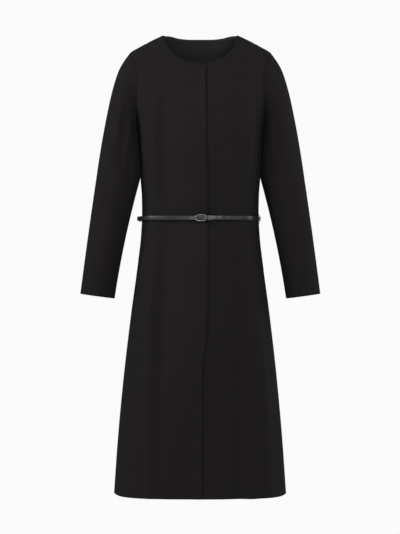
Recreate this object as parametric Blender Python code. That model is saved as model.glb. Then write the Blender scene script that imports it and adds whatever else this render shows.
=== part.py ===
"""A collarless coat held in its worn, hollow form, with two-piece sleeves and a narrow buckled belt."""

import math

import bmesh
import bpy
import numpy as np

# Sizes in metres. The origin is midway between the two neck points, the front faces -Y, the hem hangs below.
# A drop is a distance below the neck points; an angle goes round the body from the front towards +X.
# The body panels are parted under the belt into bodice and skirt lengths.
CLOTH = 0.002
SEAM = 0.0003
HEM_DROP = 1.160
NECK_HALF_WIDTH = 0.0925
NECK_FRONT_DROP = 0.076
NECK_BACK_DROP = 0.0035
NECK_SIDE_RISE = 0.0020
NECK_RISE_PLACE = 0.22
NECK_RISE_WIDTH = 0.15
HEM_DIP = 0.003
HEM_DIP_HEIGHT = 0.35
SHOULDER_DROP = 0.047
UNDERARM_DROP = 0.235
ARMHOLE_FRONT = 0.055
ARMHOLE_BACK = 0.060
LAP = CLOTH + 0.0008
LAP_FULL = 0.040
LAP_FADE = 0.090
UNDER_EDGE = -0.028
FACING_DEPTH = 0.077
FACING_SKIP = 2
FACING_CLOTH = 0.0014
FACING_CLEAR = 0.0005
DROP_STEP = 0.0008
TURN_STEP = 0.01

BODY_SECTIONS = np.array([
    # drop, half width, front depth, back depth, squareness
    (0.000, 0.0985, 0.034, 0.058, 2.0),
    (0.012, 0.1237, 0.044, 0.067, 2.0),
    (0.028, 0.1538, 0.054, 0.076, 2.0),
    (0.047, 0.1820, 0.064, 0.087, 2.1),
    (0.080, 0.1870, 0.079, 0.099, 2.2),
    (0.130, 0.1825, 0.097, 0.109, 2.3),
    (0.160, 0.1780, 0.106, 0.112, 2.35),
    (0.185, 0.1723, 0.113, 0.114, 2.4),
    (0.210, 0.1658, 0.118, 0.115, 2.45),
    (0.235, 0.1605, 0.122, 0.114, 2.5),
    (0.270, 0.1573, 0.124, 0.111, 2.5),
    (0.315, 0.1546, 0.121, 0.105, 2.5),
    (0.365, 0.1524, 0.114, 0.099, 2.55),
    (0.410, 0.1490, 0.108, 0.095, 2.6),
    (0.455, 0.1484, 0.105, 0.094, 2.6),
    (0.505, 0.1506, 0.108, 0.099, 2.6),
    (0.585, 0.1595, 0.118, 0.112, 2.65),
    (0.713, 0.1763, 0.134, 0.129, 2.7),
    (0.866, 0.1933, 0.150, 0.143, 2.8),
    (1.019, 0.2067, 0.163, 0.154, 2.85),
    (1.160, 0.2164, 0.172, 0.163, 2.9),
])
PRINCESS = np.array([
    # drop, distance of the seam from the middle
    (0.017, 0.1304),
    (0.047, 0.1230),
    (0.110, 0.1130),
    (0.180, 0.1090),
    (0.300, 0.1110),
    (0.455, 0.1140),
    (0.700, 0.1140),
    (1.160, 0.1160),
])
SEAM_TOP = 0.0010
FRONT_EDGE = np.array([
    # drop, place of the top front's edge
    (0.060, 0.0140),
    (0.780, 0.0135),
    (0.860, 0.0070),
    (0.930, 0.0035),
    (1.160, 0.0020),
])
SEAM_FOLDS = np.array([
    # drop, right ridge, right hollow, left ridge, left hollow
    (0.060, 0.0000, 0.0000, 0.0000, 0.0000),
    (0.160, 0.0010, 0.0010, 0.0010, 0.0020),
    (0.300, 0.0025, 0.0020, 0.0020, 0.0030),
    (0.455, 0.0012, 0.0010, 0.0012, 0.0014),
    (0.560, 0.0030, 0.0025, 0.0030, 0.0040),
    (0.800, 0.0035, 0.0030, 0.0040, 0.0055),
    (1.160, 0.0025, 0.0025, 0.0050, 0.0060),
])
FOLD_OFFSET = 0.012
RIDGE_WIDTH = 0.012
HOLLOW_WIDTH = 0.014
SKIRT_FLUTES = (
    # degrees round the body, half width, rise at the hem
    (-82.0, 0.030, 0.0030),
    (78.0, 0.028, 0.0018),
    (113.0, 0.030, -0.0045),
    (141.0, 0.036, 0.0065),
    (169.0, 0.030, -0.0050),
    (-166.0, 0.034, 0.0060),
    (-139.0, 0.034, -0.0050),
    (-112.0, 0.030, 0.0050),
)
FLUTE_START = 0.560
FLUTE_LENGTH = 0.560
EDGE_HOLLOW = np.array([
    # drop, place across, half width, depth
    (0.820, 0.006, 0.016, 0.0000),
    (0.900, -0.004, 0.022, 0.0020),
    (1.020, -0.022, 0.030, 0.0045),
    (1.160, -0.038, 0.038, 0.0060),
])

SLEEVE_RINGS = np.array([
    # along, outer across, outer drop, inner drop, half depth, forward
    (0.000, 0.1820, 0.047, 0.235, 0.0560, 0.000),
    (0.026, 0.1920, 0.060, 0.240, 0.0550, 0.002),
    (0.060, 0.2030, 0.078, 0.246, 0.0545, 0.005),
    (0.100, 0.2130, 0.103, 0.254, 0.0545, 0.008),
    (0.180, 0.2260, 0.149, 0.270, 0.0555, 0.012),
    (0.255, 0.2360, 0.195, 0.288, 0.0560, 0.015),
    (0.355, 0.2475, 0.256, 0.316, 0.0560, 0.018),
    (0.455, 0.2576, 0.317, 0.350, 0.0545, 0.019),
    (0.535, 0.2650, 0.368, 0.386, 0.0530, 0.020),
    (0.620, 0.2725, 0.419, 0.431, 0.0515, 0.020),
    (0.720, 0.2816, 0.483, 0.493, 0.0490, 0.021),
    (0.860, 0.2933, 0.569, 0.580, 0.0455, 0.023),
    (1.000, 0.3045, 0.656, 0.668, 0.0425, 0.026),
])
SLEEVE_CLEARANCE = 0.0010
UNDERSIDE_TOP = (0.340, 0.1452)
UNDERSIDE_CUFF = (0.668, 0.2172)
UNDERSIDE_BOW = 0.0060
UNDERSIDE_BEND = 0.002
SLEEVE_SEAM_STEPS = 7
ARMHOLE_BLEND = 0.080
ARMHOLE_OFFSET = 2.0 * SEAM
SLEEVE_TRIM = 0.75 * SEAM
ALONG_STEP = 0.006
SLEEVE_FOLDS = (
    # degrees round the sleeve, half width in degrees, start, finish, depth
    (-94.0, 15.0, 0.03, 0.52, 0.0075),
    (-122.0, 13.0, 0.22, 0.60, 0.0035),
    (98.0, 17.0, 0.04, 0.46, 0.0065),
    (-70.0, 14.0, 0.52, 0.86, 0.0022),
    (120.0, 15.0, 0.50, 0.80, 0.0030),
)

BELT_DROP = 0.466
BELT_WIDTH = 0.0105
BELT_THICK = 0.0016
BELT_CLEAR = 0.0006
BUCKLE_LIFT = 0.0020
BUCKLE_RAISED = (-0.045, 0.075)
BUCKLE_RAMP = 0.025
STAND_OFF = np.array([
    # degrees round the body from the front, distance the belt stands off the cloth
    (0.0, 0.0),
    (60.0, 0.0006),
    (90.0, 0.0012),
    (130.0, 0.0005),
    (180.0, 0.0),
    (235.0, 0.0010),
    (270.0, 0.0102),
    (300.0, 0.0040),
    (330.0, 0.0),
    (360.0, 0.0),
])
BAR_PLACE = 0.0125
BAR_RADIUS = 0.0010
FRAME_RADIUS = 0.0011
FRAME_END = -0.0122
FRAME_HALF_HEIGHT = 0.0072
FRAME_ROUND_START = -0.0040
FRAME_CORNER = 0.0030
FRAME_CORNER_IN = 0.0007
BAR_HALF = 0.0056
FOLD_BACK_END = 0.031
FOLD_BACK_FADE = 0.016
LAYERS_CLOSE = 0.010
LAYER_SLACK = 0.0002
WAIST_START = 0.060
WAIST_FINISH = -0.048
WAIST_POINTS = 46
FIXED_FINISH = 0.052
TONGUE_START = -0.040
TONGUE_LEVEL = -0.024
TONGUE_UNDER_FRAME = -0.0075
TONGUE_TOP = 0.007
TONGUE_POINTS = 27
UNDER_FRAME_RISE = 0.0008
TIP_PLACE = 0.0365
TIP_TAPER = 0.006
TIP_BLUNT = 0.12
PRONG_RADIUS = 0.0007
PRONG_HOLE = 0.0066
PRONG_ROOT = 0.0006
PRONG_OVERHANG = 0.0014
HOLE_RADIUS = 0.0014
PUNCH_REACH = (-0.0012, 0.0016)
KEEPER_PLACE = 0.0202
KEEPER_WIDTH = 0.0042
KEEPER_THICK = 0.0009
CARRIER_WIDTH = 0.0050
CARRIER_THICK = 0.0010
CARRIER_RISE = 0.0080
CARRIER_SEWN = 0.0040
CARRIER_CLEAR = 0.0010
CARRIER_BEND = 0.0008
CARRIER_ANGLES = {"belt_carrier_left": 90.0, "belt_carrier_right": 257.0}

FRONT_SPLIT = (0.0, 0.14, 0.29, 0.45, 0.62, 0.78, 0.9, 1.0)
SIDE_SPLIT = (0.0, 0.1, 0.25, 0.5, 0.75, 1.0)
BACK_SPLIT = (0.0, 0.13, 0.28, 0.43, 0.57, 0.72, 0.87, 1.0)
ARMHOLE_STEPS = 9
SKIRT_ROWS = (
    1.160, 1.100, 1.025, 0.950, 0.880, 0.810, 0.740, 0.670, 0.605, 0.550, 0.510,
    0.472, 0.460, 0.425, 0.390, 0.350, 0.310, 0.270,
)
NECK_ROWS = (0.076, 0.0732, 0.060)
SHOULDER_ROWS = (0.040, 0.032, 0.024, 0.017, 0.010, 0.004, 0.000)
SLEEVE_ROWS = (0.0, 0.02, 0.045, 0.08, 0.13, 0.19, 0.26, 0.33, 0.40, 0.47, 0.54, 0.62, 0.71, 0.81, 0.91, 1.0)


class Profile:
    """A smooth curve through the rows of a table that never overshoots between them."""

    def __init__(self, places, values):
        self.places = np.asarray(places, float)
        self.values = np.asarray(values, float)
        step = np.diff(self.places)
        rate = np.diff(self.values) / step
        self.slope = np.zeros(len(self.places))
        self.slope[0] = rate[0]
        self.slope[-1] = rate[-1]
        for i in range(1, len(rate)):
            if rate[i - 1] * rate[i] > 0.0:
                before = 2.0 * step[i] + step[i - 1]
                after = step[i] + 2.0 * step[i - 1]
                self.slope[i] = (before + after) / (before / rate[i - 1] + after / rate[i])

    def __call__(self, place):
        inside = np.clip(place, self.places[0], self.places[-1])
        row = np.clip(np.searchsorted(self.places, inside) - 1, 0, len(self.places) - 2)
        step = self.places[row + 1] - self.places[row]
        part = (inside - self.places[row]) / step
        rest = 1.0 - part
        start = self.values[row] * (1.0 + 2.0 * part) * rest * rest
        finish = self.values[row + 1] * (3.0 - 2.0 * part) * part * part
        bend = step * part * rest * (self.slope[row] * rest - self.slope[row + 1] * part)
        return start + finish + bend


def columns_of(table):
    return [Profile(table[:, 0], table[:, i]) for i in range(1, table.shape[1])]


half_width, front_depth, back_depth, squareness = columns_of(BODY_SECTIONS)
princess_place = columns_of(PRINCESS)[0]
front_edge = columns_of(FRONT_EDGE)[0]
right_ridge, right_hollow, left_ridge, left_hollow = columns_of(SEAM_FOLDS)
hollow_place, hollow_width, hollow_depth = columns_of(EDGE_HOLLOW)
outer_across, outer_drop, inner_drop, half_depth, forward = columns_of(SLEEVE_RINGS)
stand_off = columns_of(STAND_OFF)[0]


def ease(part):
    part = np.clip(part, 0.0, 1.0)
    return part * part * (3.0 - 2.0 * part)


def bump(distance, width):
    return np.exp(-((distance / width) ** 2))


def turn(angle):
    """The same angle between minus and plus half a turn."""
    return (angle + math.pi) % (2.0 * math.pi) - math.pi


def plain_radius(angle, drop):
    sine = np.abs(np.sin(angle))
    cosine = np.cos(angle)
    depth = np.where(cosine > 0.0, front_depth(drop), back_depth(drop))
    power = squareness(drop)
    return ((sine / half_width(drop)) ** power + (np.abs(cosine) / depth) ** power) ** (-1.0 / power)


def angle_across(place, drop):
    """The angle on the front where a section reaches a place across the body."""
    angles = np.linspace(-0.5 * math.pi, 0.5 * math.pi, 361)
    return float(np.interp(place, plain_radius(angles, drop) * np.sin(angles), angles))


def angle_at_depth(depth, drop):
    """The angle on the +X side where a section reaches a depth."""
    angles = np.linspace(0.0, math.pi, 361)
    return float(np.interp(depth, -plain_radius(angles, drop) * np.cos(angles), angles))


seam_drops = np.linspace(PRINCESS[0, 0], HEM_DROP, 60)
seam_angles = [angle_across(princess_place(d), d) for d in seam_drops]
seam_angles[0] = 0.5 * math.pi - SEAM_TOP / PRINCESS[0, 1]
princess_angle = Profile(seam_drops, seam_angles)


def relief(angle, drop):
    """How far folds stand out from, or sink into, the plain section."""
    angle = turn(angle)
    reach = plain_radius(angle, drop)
    total = 0.0
    for side, ridge, hollow in ((-1.0, right_ridge, right_hollow), (1.0, left_ridge, left_hollow)):
        past = (side * angle - princess_angle(drop)) * reach
        total = total + ridge(drop) * bump(past - FOLD_OFFSET, RIDGE_WIDTH)
        total = total - hollow(drop) * bump(past + FOLD_OFFSET, HOLLOW_WIDTH)
    fall = ease((drop - FLUTE_START) / FLUTE_LENGTH)
    for degrees, width, rise in SKIRT_FLUTES:
        past = turn(angle - math.radians(degrees)) * reach
        total = total + rise * fall * bump(past, width)
    across = angle * reach
    return total - hollow_depth(drop) * bump(across - hollow_place(drop), hollow_width(drop))


def lap_lift(angle, drop):
    """The top front lies one cloth further out where it crosses the other."""
    own_side = -turn(angle) * plain_radius(angle, drop)
    return LAP * ease((LAP_FADE - own_side) / (LAP_FADE - LAP_FULL))


def no_lift(angle, drop):
    return 0.0


def body_point(angle, drop, lift=no_lift):
    reach = plain_radius(angle, drop) + relief(angle, drop) + lift(angle, drop)
    return np.stack([reach * np.sin(angle), -reach * np.cos(angle), -drop], -1)


def unit(vectors):
    return vectors / np.linalg.norm(vectors, axis=-1, keepdims=True)


def body_normal(angle, drop, lift=no_lift):
    round_body = body_point(angle + TURN_STEP, drop, lift) - body_point(angle - TURN_STEP, drop, lift)
    down = body_point(angle, drop + DROP_STEP, lift) - body_point(angle, drop - DROP_STEP, lift)
    return unit(np.cross(down, round_body))


def split_angles(start, stop, drop, split):
    """Angles from start to stop at parts of the section's length between them."""
    fine = np.linspace(start, stop, 81)
    reach = plain_radius(fine, drop)
    path = np.stack([reach * np.sin(fine), reach * np.cos(fine)], -1)
    length = np.concatenate([[0.0], np.cumsum(np.linalg.norm(np.diff(path, axis=0), axis=1))])
    return np.interp(length[-1] * np.array(split), length, fine)


def inset(angle, drop, amount):
    return angle + amount / plain_radius(angle, drop)


def neck_angle(drop):
    across = NECK_HALF_WIDTH * math.sqrt(max(0.0, 1.0 - (drop / NECK_FRONT_DROP) ** 2))
    return angle_across(across, drop)


def side_angle(drop, half):
    """Where a panel ends at the side: shoulder seam, armhole edge or side seam; half is -1 front, +1 back."""
    quarter = 0.5 * math.pi
    if drop <= SHOULDER_DROP or drop >= UNDERARM_DROP:
        return quarter + half * 0.5 * SEAM / float(plain_radius(quarter, drop))
    middle = 0.5 * (SHOULDER_DROP + UNDERARM_DROP)
    part = (drop - middle) / (UNDERARM_DROP - middle)
    reach = ARMHOLE_FRONT if half < 0.0 else ARMHOLE_BACK
    return angle_at_depth(half * reach * math.sqrt(max(0.0, 1.0 - part * part)), drop)


def front_start(drop, edge):
    if drop < NECK_FRONT_DROP:
        return neck_angle(drop)
    return angle_across(edge, drop)


def front_stop(drop):
    if drop < PRINCESS[0, 0]:
        return side_angle(drop, -1.0)
    return inset(princess_angle(drop), drop, -0.5 * SEAM)


def add_object(name, mesh_builder, material, collection, smooth=True):
    mesh = bpy.data.meshes.new(name)
    builder = bmesh.new()
    mesh_builder(builder)
    bmesh.ops.recalc_face_normals(builder, faces=builder.faces)
    builder.to_mesh(mesh)
    builder.free()
    for polygon in mesh.polygons:
        polygon.use_smooth = smooth
    mesh.materials.append(material)
    part = bpy.data.objects.new(name, mesh)
    collection.objects.link(part)
    return part


def add_cell(builder, corners):
    """A four-cornered cell as two triangles, split along its shorter diagonal."""
    first = (corners[0].co - corners[2].co).length
    second = (corners[1].co - corners[3].co).length
    if second < first:
        corners = corners[1:] + corners[:1]
    builder.faces.new((corners[0], corners[1], corners[2]))
    builder.faces.new((corners[0], corners[2], corners[3]))


def wall(name, outer, inner, material, collection):
    """A closed wall between an outer and an inner grid of points."""
    rows, columns = outer.shape[:2]

    def build(builder):
        skins = []
        for grid in (outer, inner):
            skins.append([[builder.verts.new(point) for point in row] for row in grid])
        for i in range(rows - 1):
            for j in range(columns - 1):
                for skin in skins:
                    add_cell(builder, [skin[i][j], skin[i][j + 1], skin[i + 1][j + 1], skin[i + 1][j]])
        rim = [(0, j) for j in range(columns)]
        rim += [(i, columns - 1) for i in range(1, rows)]
        rim += [(rows - 1, j) for j in range(columns - 2, -1, -1)]
        rim += [(i, 0) for i in range(rows - 2, 0, -1)]
        for (a, b), (c, d) in zip(rim, rim[1:] + rim[:1]):
            add_cell(builder, [skins[0][c][d], skins[0][a][b], skins[1][a][b], skins[1][c][d]])

    return add_object(name, build, material, collection)


def solid_along(name, sections, material, collection, ring=False, smooth=False):
    """A closed solid through a row of sections, capped at both ends or joined into a ring."""
    count = len(sections)
    around = len(sections[0])

    def build(builder):
        verts = [[builder.verts.new(point) for point in section] for section in sections]
        for i in range(count if ring else count - 1):
            here = verts[i]
            there = verts[(i + 1) % count]
            for j in range(around):
                k = (j + 1) % around
                builder.faces.new((here[j], here[k], there[k], there[j]))
        if not ring:
            builder.faces.new(verts[0][::-1])
            builder.faces.new(verts[-1])

    return add_object(name, build, material, collection, smooth)


def hem_fall(angles, row):
    """The hem hangs a little lower in front than at the sides."""
    front = ease(2.0 * np.cos(turn(angles)))
    return HEM_DIP * front * ease((row - HEM_DROP + HEM_DIP_HEIGHT) / HEM_DIP_HEIGHT)


def back_neck_fall(angles, row):
    """The back neck edge rises beside the neck points and dips a little in the middle."""
    round_back = (np.abs(turn(angles)) - 0.5 * math.pi) / (0.5 * math.pi)
    rise = NECK_SIDE_RISE * bump(round_back - NECK_RISE_PLACE, NECK_RISE_WIDTH)
    edge = NECK_BACK_DROP * ease(2.0 * (round_back - NECK_RISE_PLACE)) - rise
    return edge * max(0.0, 1.0 - row / SHOULDER_DROP) + hem_fall(angles, row)


def panel(name, side, rows, start, stop, split, material, collection, lift=no_lift, fall=hem_fall):
    """One body panel: its rows are sections cut off between a start and a stop angle."""
    outer = []
    inner = []
    for row in rows:
        angles = split_angles(start(row), stop(row), row, split) * side
        drops = row + fall(angles, row)
        points = body_point(angles, drops, lift)
        outer.append(points)
        inner.append(points - CLOTH * body_normal(angles, drops, lift))
    return wall(name, np.array(outer), np.array(inner), material, collection)


def body_depth_to_across(depth, drop):
    angle = angle_at_depth(depth, drop)
    return float(plain_radius(angle, drop)) * math.sin(angle)


def underside_across(drop, ahead):
    """The sleeve's underside rests beside the body, then hangs away from it to the cuff."""
    part = (drop - UNDERSIDE_TOP[0]) / (UNDERSIDE_CUFF[0] - UNDERSIDE_TOP[0])
    hanging = UNDERSIDE_TOP[1] + (UNDERSIDE_CUFF[1] - UNDERSIDE_TOP[1]) * part
    hanging = hanging + UNDERSIDE_BOW * 4.0 * part * (1.0 - part)
    beside = body_depth_to_across(-ahead, drop) + SLEEVE_CLEARANCE
    return 0.5 * (hanging + beside + math.hypot(hanging - beside, UNDERSIDE_BEND))


def armhole_point(angle):
    """The armhole edge on the +X side, from the shoulder point round its front (minus) and back (plus)."""
    middle = 0.5 * (SHOULDER_DROP + UNDERARM_DROP)
    drop = middle - (UNDERARM_DROP - middle) * math.cos(angle)
    reach = ARMHOLE_FRONT if math.sin(angle) < 0.0 else ARMHOLE_BACK
    depth = reach * math.sin(angle)
    return np.array([body_depth_to_across(depth, drop) + ARMHOLE_OFFSET, depth, -drop])


def sleeve_point(along, angle):
    """A point of the +X sleeve's outer face; angle 0 is its outer line and half a turn its underside."""
    low = float(inner_drop(along))
    outer = np.array([float(outer_across(along)), 0.0, -float(outer_drop(along))])
    under = np.array([underside_across(low, float(forward(along))), 0.0, -low])
    depth = float(half_depth(along))
    for degrees, width, start, finish, sink in SLEEVE_FOLDS:
        run = (along - start) / (finish - start)
        if 0.0 < run < 1.0:
            past = float(turn(angle - math.radians(degrees)))
            depth -= sink * math.sin(math.pi * run) ** 1.5 * float(bump(past, math.radians(width)))
    middle = 0.5 * (outer + under)
    middle[1] = -float(forward(along))
    ring = middle + 0.5 * (outer - under) * math.cos(angle) + np.array([0.0, depth * math.sin(angle), 0.0])
    if along >= ARMHOLE_BLEND:
        return ring
    keep = float(ease(along / ARMHOLE_BLEND))
    return keep * ring + (1.0 - keep) * armhole_point(angle)


def sleeve_normal(along, angle):
    below = sleeve_point(min(along + ALONG_STEP, 1.0), angle)
    above = sleeve_point(max(along - ALONG_STEP, 0.0), angle)
    turned = sleeve_point(along, angle + TURN_STEP) - sleeve_point(along, angle - TURN_STEP)
    normal = unit(np.cross(below - above, turned))
    if along > 0.0:
        return normal
    edge = armhole_point(angle)
    body = body_normal(np.array(angle_at_depth(edge[1], -edge[2])), np.array(-edge[2]))
    hold = float(np.clip(1.5 * math.cos(angle), 0.0, 1.0))
    return unit(hold * body + (1.0 - hold) * normal)


def sleeve(name, side, start, stop, material, collection):
    count = round((stop - start) * ARMHOLE_STEPS / math.pi) + 1
    flip = np.array([side, 1.0, 1.0])
    outer = []
    inner = []
    for along in SLEEVE_ROWS:
        trim = SLEEVE_TRIM / float(half_depth(along))
        angles = np.linspace(start, stop, count)
        normals = np.array([sleeve_normal(along, angle) for angle in angles])
        angles[0] += trim
        angles[-1] -= trim
        points = np.array([sleeve_point(along, angle) for angle in angles])
        outer.append(points * flip)
        inner.append((points - CLOTH * normals) * flip)
    return wall(name, np.array(outer), np.array(inner), material, collection)


def belt_lift(angle, drop):
    """The belt clears the lapped front on both sides of the middle."""
    across = np.abs(turn(angle)) * plain_radius(angle, drop)
    return LAP * ease((LAP_FADE - across) / (LAP_FADE - LAP_FULL))


def buckle_lift(place):
    first, last = BUCKLE_RAISED
    return BUCKLE_LIFT * ease((place - first) / BUCKLE_RAMP) * ease((last - place) / BUCKLE_RAMP)


def belt_ground(angle):
    """A point level with the belt's middle, as far out as the cloth at its lower edge, and the way out."""
    drop = np.array(BELT_DROP + 0.5 * BELT_WIDTH)
    point = body_point(np.array(angle), drop, belt_lift)
    point[2] = -BELT_DROP
    after = body_point(np.array(angle + TURN_STEP), drop, belt_lift)
    before = body_point(np.array(angle - TURN_STEP), drop, belt_lift)
    way = unit(np.cross(after - before, np.array([0.0, 0.0, 1.0])))
    return point, way


def front_spot(place, out, rise=0.0):
    """A point near the buckle, from a place across, a distance out and a rise above the belt's middle."""
    point, way = belt_ground(angle_across(place, BELT_DROP))
    return point + way * (out + float(buckle_lift(place))) + np.array([0.0, 0.0, rise])


first_layer = BELT_CLEAR + 0.5 * BELT_THICK
wrap_radius = BAR_RADIUS + SEAM + 0.5 * BELT_THICK
bar_out = first_layer + wrap_radius
second_layer = first_layer + BELT_THICK + SEAM
over_bar = bar_out + wrap_radius
fixed_end_out = Profile(
    (BAR_PLACE, BAR_PLACE + LAYERS_CLOSE, FOLD_BACK_END, FOLD_BACK_END + FOLD_BACK_FADE, WAIST_START),
    (over_bar, second_layer + LAYER_SLACK, second_layer, first_layer, first_layer),
)
under_frame = first_layer + UNDER_FRAME_RISE
tongue_out = Profile(
    # places across the front
    (
        TONGUE_START,
        TONGUE_LEVEL,
        TONGUE_UNDER_FRAME,
        BAR_PLACE - TONGUE_TOP,
        BAR_PLACE,
        BAR_PLACE + LAYERS_CLOSE,
        FOLD_BACK_END,
        TIP_PLACE + LAYERS_CLOSE,
    ),
    # distances of the tongue's middle from the cloth
    (
        first_layer,
        first_layer,
        under_frame,
        over_bar + BELT_THICK - LAYER_SLACK,
        over_bar + BELT_THICK + 2.5 * LAYER_SLACK,
        second_layer + BELT_THICK + 4.0 * LAYER_SLACK,
        second_layer + BELT_THICK + 2.5 * LAYER_SLACK,
        second_layer + BELT_THICK,
    ),
)
frame_end_out = under_frame + 0.5 * BELT_THICK + SEAM + FRAME_RADIUS


def strap_path():
    """The belt's middle line: fold back, round the bar, round the waist, through the buckle to the tip."""
    folded = np.linspace(FOLD_BACK_END - BAR_RADIUS, BAR_PLACE + BAR_RADIUS, 5)
    path = [front_spot(place, first_layer) for place in folded]
    for degrees in range(-90, -271, -30):
        place = BAR_PLACE + wrap_radius * math.cos(math.radians(degrees))
        path.append(front_spot(place, bar_out + wrap_radius * math.sin(math.radians(degrees))))
    fixed = np.linspace(BAR_PLACE + 3.0 * BAR_RADIUS, FIXED_FINISH, 9)
    path += [front_spot(place, float(fixed_end_out(place))) for place in fixed]
    start = angle_across(WAIST_START, BELT_DROP)
    finish = 2.0 * math.pi + angle_across(WAIST_FINISH, BELT_DROP)
    for angle in np.linspace(start, finish, WAIST_POINTS):
        point, way = belt_ground(angle)
        path.append(point + way * (first_layer + float(stand_off(math.degrees(angle)))))
    tongue = np.linspace(TONGUE_START, TIP_PLACE, TONGUE_POINTS)
    path += [front_spot(place, float(tongue_out(place))) for place in tongue]
    return np.array(path)


def ribbon_sections(path, width, thick, taper=None):
    """Flat strap sections along a level path."""
    ahead = np.gradient(path, axis=0)
    up = np.array([0.0, 0.0, 1.0])
    out = unit(np.cross(ahead, up))
    sections = []
    for i, point in enumerate(path):
        half = 0.5 * width * (1.0 if taper is None else taper[i])
        face = 0.5 * thick * out[i]
        sections.append([point - face - half * up, point + face - half * up,
                         point + face + half * up, point - face + half * up])
    return sections


def rod_sections(path, radius, ring=False, sides=8):
    """Round rod sections along a path near the buckle."""
    if ring:
        ahead = unit(np.roll(path, -1, axis=0) - np.roll(path, 1, axis=0))
    else:
        ahead = unit(np.gradient(path, axis=0))
    out = belt_ground(0.0)[1]
    first = unit(np.cross(ahead, out))
    second = np.cross(ahead, first)
    turns = np.linspace(0.0, 2.0 * math.pi, sides, endpoint=False)
    return [
        [point + radius * (math.cos(t) * first[i] + math.sin(t) * second[i]) for t in turns]
        for i, point in enumerate(path)
    ]


def frame_path():
    """The buckle frame: a straight bar, two arms and a rounded end."""
    arm = np.linspace(BAR_PLACE - FRAME_CORNER, FRAME_ROUND_START, 5)
    corner_rise = 0.5 * (BAR_HALF + FRAME_HALF_HEIGHT) + 0.25 * BAR_RADIUS
    rows = [(BAR_PLACE, rise) for rise in np.linspace(-BAR_HALF, BAR_HALF, 5)]
    rows.append((BAR_PLACE - FRAME_CORNER_IN, corner_rise))
    rows += [(place, FRAME_HALF_HEIGHT) for place in arm]
    for turned in np.linspace(0.5 * math.pi, 1.5 * math.pi, 9)[1:-1]:
        place = FRAME_ROUND_START + (FRAME_ROUND_START - FRAME_END) * math.cos(turned)
        rows.append((place, FRAME_HALF_HEIGHT * math.sin(turned)))
    rows += [(place, -FRAME_HALF_HEIGHT) for place in arm[::-1]]
    rows.append((BAR_PLACE - FRAME_CORNER_IN, -corner_rise))
    path = []
    for place, rise in rows:
        part = float(ease((BAR_PLACE - place) / (BAR_PLACE - FRAME_END)))
        path.append(front_spot(place, bar_out + (frame_end_out - bar_out) * part, rise))
    return np.array(path)


def prong_path():
    """The prong comes up through the tongue and lies on the frame's rounded end."""
    rest = frame_end_out + FRAME_RADIUS + SEAM + PRONG_RADIUS
    above = float(tongue_out(PRONG_HOLE)) + 0.5 * BELT_THICK + SEAM + PRONG_RADIUS
    below = float(tongue_out(PRONG_HOLE)) - 0.5 * BELT_THICK - PRONG_ROOT
    spots = (
        (PRONG_HOLE + 1.2 * PRONG_RADIUS, below),
        (PRONG_HOLE + 0.7 * PRONG_RADIUS, 0.5 * (below + above)),
        (PRONG_HOLE - 0.6 * PRONG_RADIUS, above - 0.5 * LAYER_SLACK),
        (PRONG_HOLE - 4.3 * PRONG_RADIUS, above + LAYER_SLACK),
        (FRAME_ROUND_START, 0.5 * (above + rest) + 3.0 * LAYER_SLACK),
        (FRAME_END, rest + 0.5 * LAYER_SLACK),
        (FRAME_END - PRONG_OVERHANG, rest - 0.5 * LAYER_SLACK),
    )
    return np.array([front_spot(place, out) for place, out in spots])


def keeper_sections():
    """A flat band round the strap's layers beside the buckle."""
    low = first_layer - 0.5 * BELT_THICK - SEAM
    high = float(tongue_out(KEEPER_PLACE - 0.5 * KEEPER_WIDTH)) + 0.5 * BELT_THICK + SEAM
    half = 0.5 * BELT_WIDTH + SEAM
    sections = []
    for out_sign, rise_sign in ((0, -1), (1, -1), (1, 1), (0, 1)):
        inner_out = high if out_sign else low
        outer_out = inner_out + (KEEPER_THICK if out_sign else -KEEPER_THICK)
        inner_rise = rise_sign * half
        outer_rise = rise_sign * (half + KEEPER_THICK)
        section = []
        for place in (KEEPER_PLACE - 0.5 * KEEPER_WIDTH, KEEPER_PLACE + 0.5 * KEEPER_WIDTH):
            ends = [front_spot(place, inner_out, inner_rise), front_spot(place, outer_out, outer_rise)]
            section += ends if not section else ends[::-1]
        sections.append(section)
    return sections


def carrier_sections(degrees):
    """A narrow loop sewn to the cloth above and below the belt."""
    angle = math.radians(degrees)
    reach = float(stand_off(degrees)) + BELT_CLEAR + BELT_THICK + CARRIER_CLEAR + 0.5 * CARRIER_THICK
    close = 0.5 * BELT_WIDTH + 2.0 * SEAM + 0.5 * CARRIER_THICK
    foot = SEAM + 0.5 * CARRIER_THICK
    bend = CARRIER_BEND
    spots = ((foot, CARRIER_RISE + CARRIER_SEWN), (foot, CARRIER_RISE), (0.5 * (foot + reach), close + bend),
             (reach - bend, close), (reach, close - bend), (reach, 0.0), (reach, bend - close),
             (reach - bend, -close), (0.5 * (foot + reach), -close - bend), (foot, -CARRIER_RISE),
             (foot, -CARRIER_RISE - CARRIER_SEWN))
    path = []
    for out, rise in spots:
        drop = np.array(BELT_DROP - rise)
        point = body_point(np.array(angle), drop)
        path.append(point + belt_ground(angle)[1] * out)
    path = np.array(path)
    along_belt = unit(np.cross(np.array([0.0, 0.0, 1.0]), belt_ground(angle)[1]))
    ahead = unit(np.gradient(path, axis=0))
    out = unit(np.cross(ahead, along_belt))
    sections = []
    for i, point in enumerate(path):
        half = 0.5 * CARRIER_WIDTH * along_belt
        face = 0.5 * CARRIER_THICK * out[i]
        sections.append([point - face - half, point + face - half, point + face + half, point - face + half])
    return sections


def make_material(name, colour, roughness, metallic=0.0):
    material = bpy.data.materials.new(name)
    material.use_nodes = True
    shader = material.node_tree.nodes["Principled BSDF"]
    shader.inputs["Base Color"].default_value = (*colour, 1.0)
    shader.inputs["Roughness"].default_value = roughness
    shader.inputs["Metallic"].default_value = metallic
    material.diffuse_color = (*colour, 1.0)
    return material


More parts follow.
